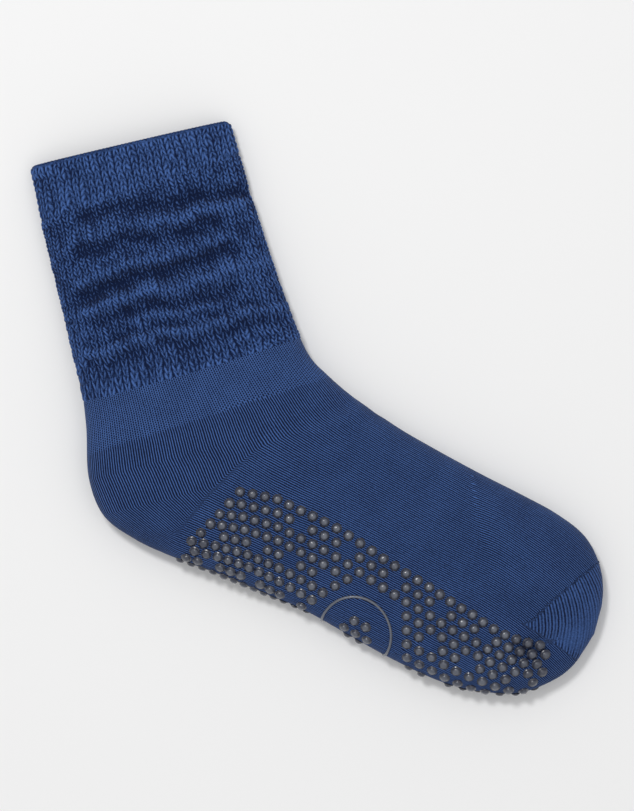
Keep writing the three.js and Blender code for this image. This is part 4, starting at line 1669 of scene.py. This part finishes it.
@dataclass
class GripPrint:
    """Silicone dots printed in staggered rows round the sole, and a ring of them."""

    diameter: float = 3.5
    height: float = 1.35
    skirt: float = 0.65
    sunk: float = 0.35
    pitch: float = 5.5
    first_row: int = -2
    last_row: int = 12
    columns: tuple[int, int] = (-20, 18)
    fanned_rows: int = 6
    even_step: float = 0.96
    middle_dot: float = 0.5
    end_row: int = 13
    edge_margin: float = 0.4
    start_margin: float = 0.14
    end_margin: float = 0.35
    ring_at: float = 0.591
    ring_way: float = 4.2
    ring_radius: float = 15.6
    ring_line: float = 1.3
    ring_height: float = 0.85
    ring_clearance: float = 5.6
    ring_dots: int = 6
    sides: int = 14
    tiers: int = 5
    seed: int = 11
    pale_from: int = -12
    pale_to: int = 16
    end_tone: float = 0.55
    tones: tuple[float, float] = (0.62, 1.0)
    spreads: tuple[float, float] = (0.97, 1.05)
    rises: tuple[float, float] = (0.85, 1.1)
    mark_tone: float = 0.85
    foot_lift: float = 0.1
    # Tone at the dome's foot: painted shade, and the knit through thin silicone.
    shaded_foot_tone: float = 0.1
    upright: float = 0.9
    skirt_share: float = 0.8
    skirt_lift: float = 0.08
    round_power: float = 0.75
    tone_power: float = 1.5
    # Tone at the ring line's foot: painted shade, and the knit through thin silicone.
    ring_foot_tone: float = 0.3
    ring_facets: int = 140
    ring_sides: int = 8

    def dot_at(self, row: int, column: int) -> tuple[float, float]:
        """Places one dot of the print.

        Args:
            row: its row, counted towards the sole fold.
            column: its column, counted from the middle of the foot.

        Returns:
            Its way along the foot and round from the sole fold, in millimetres.
        """
        at = [entry.column for entry in PRINT_COLUMNS]
        place, slide, share, step = (
            float(np.interp(column, at, [getattr(entry, name) for entry in PRINT_COLUMNS]))
            for name in ("place", "slide", "way", "step")
        )
        fanned = min(row, self.fanned_rows)
        along = self.middle_dot * FORM.foot_length + self.pitch * (place + row / 2 + slide * fanned)
        steps = fanned * step + (row - fanned) * self.even_step
        return along, share * FORM.foot_width - steps * self.pitch

    def places(self) -> list[tuple[float, float, int]]:
        """Lists the dots of the print.

        Returns:
            Ways along the foot and round from the sole fold, and the column.
        """
        found = []
        ring = self.ring_at * FORM.foot_length
        end = FORM.first_foot + self.end_row
        for row in range(self.first_row, self.last_row + 1):
            for column in range(self.columns[0], self.columns[1] + 1):
                along, way = self.dot_at(row, column)
                if not 0 < along < FORM.foot_length:
                    continue
                station, share, _ = FORM.sole_place(along, way)
                sole, instep = FORM.chord(station)
                spare = (self.diameter / 2 + self.edge_margin) / np.linalg.norm(instep - sole)
                grip = float(np.interp(station, np.arange(FORM.last + 1), FORM.grip))
                inside = FORM.print_start + self.start_margin < station < end - self.end_margin
                reach = math.hypot(along - ring, way - self.ring_way)
                clear = reach > self.ring_radius + self.ring_clearance
                if inside and share < grip - spare and clear and column not in LEFT_OUT.get(row, ()):
                    found.append((along, way, column))
        return found

    def dome(
        self, along: float, way: float, spread: float, rise: float, tone: float
    ) -> tuple[np.ndarray, np.ndarray, list]:
        """Shapes one dot on the cloth, with a thin dark skirt round it: silicone soaked into the knit, and
        painted shade where the dot meets the cloth.

        Args:
            along: way along the foot.
            way: way round from the sole fold.
            spread: its radius.
            rise: its height.
            tone: how light it is, from 0 to 1.

        Returns:
            Millimetre places, how deep the silicone is at each, and its faces.
        """
        station, _, angle = FORM.sole_place(along, way)
        middle, normal = FORM.seat(station, angle)
        side = np.cross(normal, (0.0, 0.0, 1.0) if abs(normal[2]) < self.upright else (1.0, 0.0, 0.0))
        side /= np.linalg.norm(side)
        front = np.cross(normal, side)
        # The skirt takes the darkest tone: painted shade round the dot's foot, and silicone soaked into the
        # knit.
        profile = [(spread + self.skirt, -self.sunk, 0.0),
                   (spread + self.skirt * self.skirt_share, self.skirt_lift, 0.0)]
        for tier in range(self.tiers):
            lean = tier / self.tiers * math.pi / 2
            lift = blend(self.foot_lift, rise, math.sin(lean))
            # Painted shade with the knit showing through: the dome darkens from its crown down to its foot.
            depth = tone * blend(self.shaded_foot_tone, 1.0, math.sin(lean) ** self.tone_power)
            profile.append((spread * math.cos(lean) ** self.round_power, lift, depth))
        turns = TURN * np.arange(self.sides) / self.sides
        circle = np.cos(turns)[:, None] * side + np.sin(turns)[:, None] * front
        points = [middle + circle * reach + normal * lift for reach, lift, _ in profile]
        depth = [value for _, _, value in profile for _ in range(self.sides)]
        places = np.vstack([*points, middle + normal * rise])
        return places, np.array([*depth, tone]), mound_faces(len(profile), self.sides)

    def gather(self, name: str, parts: list, material: bpy.types.Material, node: str) -> None:
        """Joins printed shapes into one piece.

        Args:
            name: name of the piece.
            parts: places, depths and faces of each shape.
            material: the silicone.
            node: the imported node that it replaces.
        """
        points, depths, faces, start = [], [], [], 0
        for places, depth, own in parts:
            points.append(places)
            depths.append(depth)
            faces += [[index + start for index in face] for face in own]
            start += len(places)
        piece = smooth_piece(name, np.concatenate(points), faces, {Map.DEPTH: np.concatenate(depths)})
        piece.data.validate()
        settle(piece, "grip", material, node)

    def ring(self) -> tuple[np.ndarray, np.ndarray, list]:
        """Shapes the ring's raised line.

        Returns:
            Millimetre places, depths and faces.
        """
        facets, sides = self.ring_facets, self.ring_sides
        points, depth = [], []
        for k in range(facets):
            turn = TURN * k / facets
            for s in range(sides):
                lean = math.pi * s / (sides - 1)
                radius = self.ring_radius + self.ring_line / 2 * math.cos(lean)
                lift = -self.sunk + (self.ring_height + self.sunk) * math.sin(lean)
                along = self.ring_at * FORM.foot_length + radius * math.cos(turn)
                station, _, angle = FORM.sole_place(along, self.ring_way + radius * math.sin(turn))
                middle, normal = FORM.seat(station, angle)
                points.append(middle + normal * lift)
                # The ring line darkens towards its foot: painted shade, and the knit through thin silicone.
                depth.append(blend(self.ring_foot_tone, 1.0, math.sin(lean)))
        faces = []
        for k in range(facets):
            for s in range(sides):
                a, b = k * sides, ((k + 1) % facets) * sides
                t = (s + 1) % sides
                faces.append([a + s, a + t, b + t, b + s])
        return np.array(points), np.array(depth), faces

    def build(self, material: bpy.types.Material) -> None:
        """Prints the dots and the ring.

        Args:
            material: the silicone.
        """
        chance = np.random.default_rng(self.seed)
        dots = []
        for along, way, column in self.places():
            spread = self.diameter / 2 * chance.uniform(*self.spreads)
            tone = chance.uniform(*self.tones)
            tone *= 1.0 if self.pale_from < column < self.pale_to else self.end_tone
            dots.append(self.dome(along, way, spread, self.height * chance.uniform(*self.rises), tone))
        self.gather("grip_dots", dots, material, "dot_print")
        marks = [(0.0, 0.0)] + [(self.pitch, TURN * k / self.ring_dots) for k in range(self.ring_dots)]
        shapes = [self.ring()]
        for reach, turn in marks:
            along = self.ring_at * FORM.foot_length + reach * math.cos(turn)
            way = self.ring_way + reach * math.sin(turn)
            shapes.append(self.dome(along, way, self.diameter / 2, self.height, self.mark_tone))
        self.gather("grip_ring", shapes, material, "ring_print")


@dataclass
class ToeSeam:
    """The toe seam: a low ridge of linked loops across the upper face."""

    heights: tuple[float, float] = (40.5, 80.0)
    loop_gap: float = 1.7
    loop_length: float = 0.75
    loop_width: float = 0.5
    loop_rise: float = 0.55
    loop_sunk: float = 0.2
    slant: float = 0.5
    round_power: float = 0.7
    look_ahead: float = 0.5
    samples: int = 200
    # Relief from the foot of each loop to its top: the dark gap tone at the foot is painted shade where the
    # loop meets the cloth.
    relief: tuple[float, float, float] = (0.0, 0.4, 0.5)
    rounds: int = 10
    tiers: int = 4

    def build(self, material: bpy.types.Material, line: tuple[tuple[float, float], ...]) -> None:
        """Links the loops and places them.

        Args:
            material: their yarn.
            line: heights over the sole line, and ways along the foot, of the seam.
        """
        heights = np.linspace(*self.heights, self.samples)
        places = np.stack([np.interp(heights, *np.transpose(line)), heights], -1)
        steps = np.linalg.norm(np.diff(places, axis=0), axis=1)
        ways = np.concatenate([[0], np.cumsum(steps)])
        count = int(ways[-1] / self.loop_gap)
        points, faces = [], []
        for k in range(count):
            way = (k + 0.5) * self.loop_gap
            centre, ahead = (
                np.array([np.interp(at, ways, places[:, 0]), np.interp(at, ways, places[:, 1])])
                for at in (way, way + self.look_ahead)
            )
            faces += [[index + k * (self.rounds * self.tiers + 1) for index in face]
                      for face in mound_faces(self.tiers, self.rounds)]
            points.append(self._loop(centre, ahead - centre, 1 if k % 2 else -1))
        # The loops' relief runs from the dark gap tone at their foot to mid tone at the top: painted shade
        # where each loop meets the cloth.
        low, high, tip = self.relief
        one_loop = np.append(np.repeat(np.linspace(low, high, self.tiers), self.rounds), tip)
        values = {Map.RELIEF: np.tile(one_loop, count)}
        settle(smooth_piece("toe_seam", np.concatenate(points), faces, values), "knit", material, "sock_knit")

    def _loop(self, centre: np.ndarray, ahead: np.ndarray, turn: int) -> np.ndarray:
        """Shapes one loop, a little aslant across the seam.

        Args:
            centre: its plan place.
            ahead: the seam's direction there.
            turn: 1 or -1, which way it slants.

        Returns:
            Its millimetre places.
        """
        station, share = FORM.locate(centre)
        middle, normal = FORM.seat(station, math.acos(1 - 2 * share))
        slant = math.atan2(ahead[1], ahead[0]) + self.slant * turn
        along = np.array([math.cos(slant), math.sin(slant), 0.0])
        along -= normal * along.dot(normal)
        across = np.cross(normal, along)
        turns = TURN * np.arange(self.rounds) / self.rounds
        circle = np.cos(turns)[:, None] * along * self.loop_length
        circle = circle + np.sin(turns)[:, None] * across * self.loop_width
        rows = []
        for lean in np.linspace(0, QUARTER, self.tiers + 1)[:-1]:
            rise = self.loop_rise * math.sin(lean) - self.loop_sunk
            rows.append(middle + circle * math.cos(lean) ** self.round_power + normal * rise)
        return np.vstack([*rows, middle + normal * (self.loop_rise - self.loop_sunk)])


@dataclass(frozen=True)
class SoftBox:
    """A square soft box, with its place in metres before the camera's turn and its power in watts."""

    name: str
    place: tuple[float, float, float]
    size: float
    power: float


@dataclass
class Studio:
    """Pale floor, soft light from all over, and a camera straight above the laid sock."""

    centre: tuple[float, float] = (0.00212, -0.00335)
    turn: float = 25.0
    height: float = 1.6
    middle_height: float = 0.009
    view_height: float = 0.3447
    sensor: float = 24.0
    floor_size: float = 6.0
    room_light: float = 0.6
    soft_boxes: tuple[SoftBox, ...] = (
        SoftBox("key_box", (-0.45, 0.7, 1.7), 0.34, 14.7),
        SoftBox("fill_box", (0.6, -0.4, 1.9), 1.4, 3.5),
    )

    def build(self) -> None:
        """Sets up the floor, the lights and the camera."""
        self._floor()
        self._lights()
        self._camera()

    def _floor(self) -> None:
        """Lays the floor."""
        half = self.floor_size / 2
        mesh = bpy.data.meshes.new("floor")
        corners = [(-half, -half, 0), (half, -half, 0), (half, half, 0), (-half, half, 0)]
        mesh.from_pydata(corners, [], [(0, 1, 2, 3)])
        mesh.materials.append(PaintedBoard().material())
        floor = put_in_scene("floor", mesh)

    def _lights(self) -> None:
        """Hangs the soft boxes and sets the even light of the room."""
        scene = bpy.context.scene
        scene.view_settings.view_transform = "Standard"
        world = bpy.data.worlds.new("room_light")
        scene.world = world
        world.use_nodes = True
        background = world.node_tree.nodes["Background"]
        background.inputs["Color"].default_value = (1.0, 1.0, 1.0, 1.0)
        background.inputs["Strength"].default_value = self.room_light
        for box in self.soft_boxes:
            self._hang(box)

    def _hang(self, box: SoftBox) -> None:
        """Hangs one soft box so that it faces the sock.

        Args:
            box: the soft box.
        """
        light = bpy.data.lights.new(box.name, "AREA")
        light.shape = "SQUARE"
        light.size = box.size
        light.energy = box.power
        lamp = put_in_scene(box.name, light)
        turn = math.radians(self.turn)
        right, ahead, height = box.place
        x = right * math.cos(turn) - ahead * math.sin(turn)
        y = right * math.sin(turn) + ahead * math.cos(turn)
        lamp.location = (x, y, height)
        tilt = math.acos(height / math.hypot(x, y, height))
        lamp.rotation_euler = (tilt, 0.0, math.atan2(y, x) + QUARTER)

    def _camera(self) -> None:
        """Sets the camera above the sock, rolled as the photograph is."""
        data = bpy.data.cameras.new("camera")
        data.sensor_fit = "VERTICAL"
        data.sensor_height = self.sensor
        data.lens = self.sensor * (self.height - self.middle_height) / self.view_height
        camera = put_in_scene("camera", data)
        camera.location = (*self.centre, self.height)
        camera.rotation_euler = (0.0, 0.0, math.radians(self.turn))
        bpy.context.scene.camera = camera


def main() -> None:
    """Builds the sock's pieces in order, then the studio."""
    logging.basicConfig(level=logging.INFO, format="%(name)s %(message)s")
    coarse = CoarseCottonYarn().material()
    fine = FineCottonYarn().material()
    silicone = PrintedSilicone().material()
    Cuff().build(coarse)
    Leg().build(coarse)
    foot = Foot()
    foot.build(fine)
    ToeSeam().build(coarse, foot.toe_seam)
    GripPrint().build(silicone)
    Studio().build()
    log.info("sizes written")


if __name__ == "__main__":
    main()
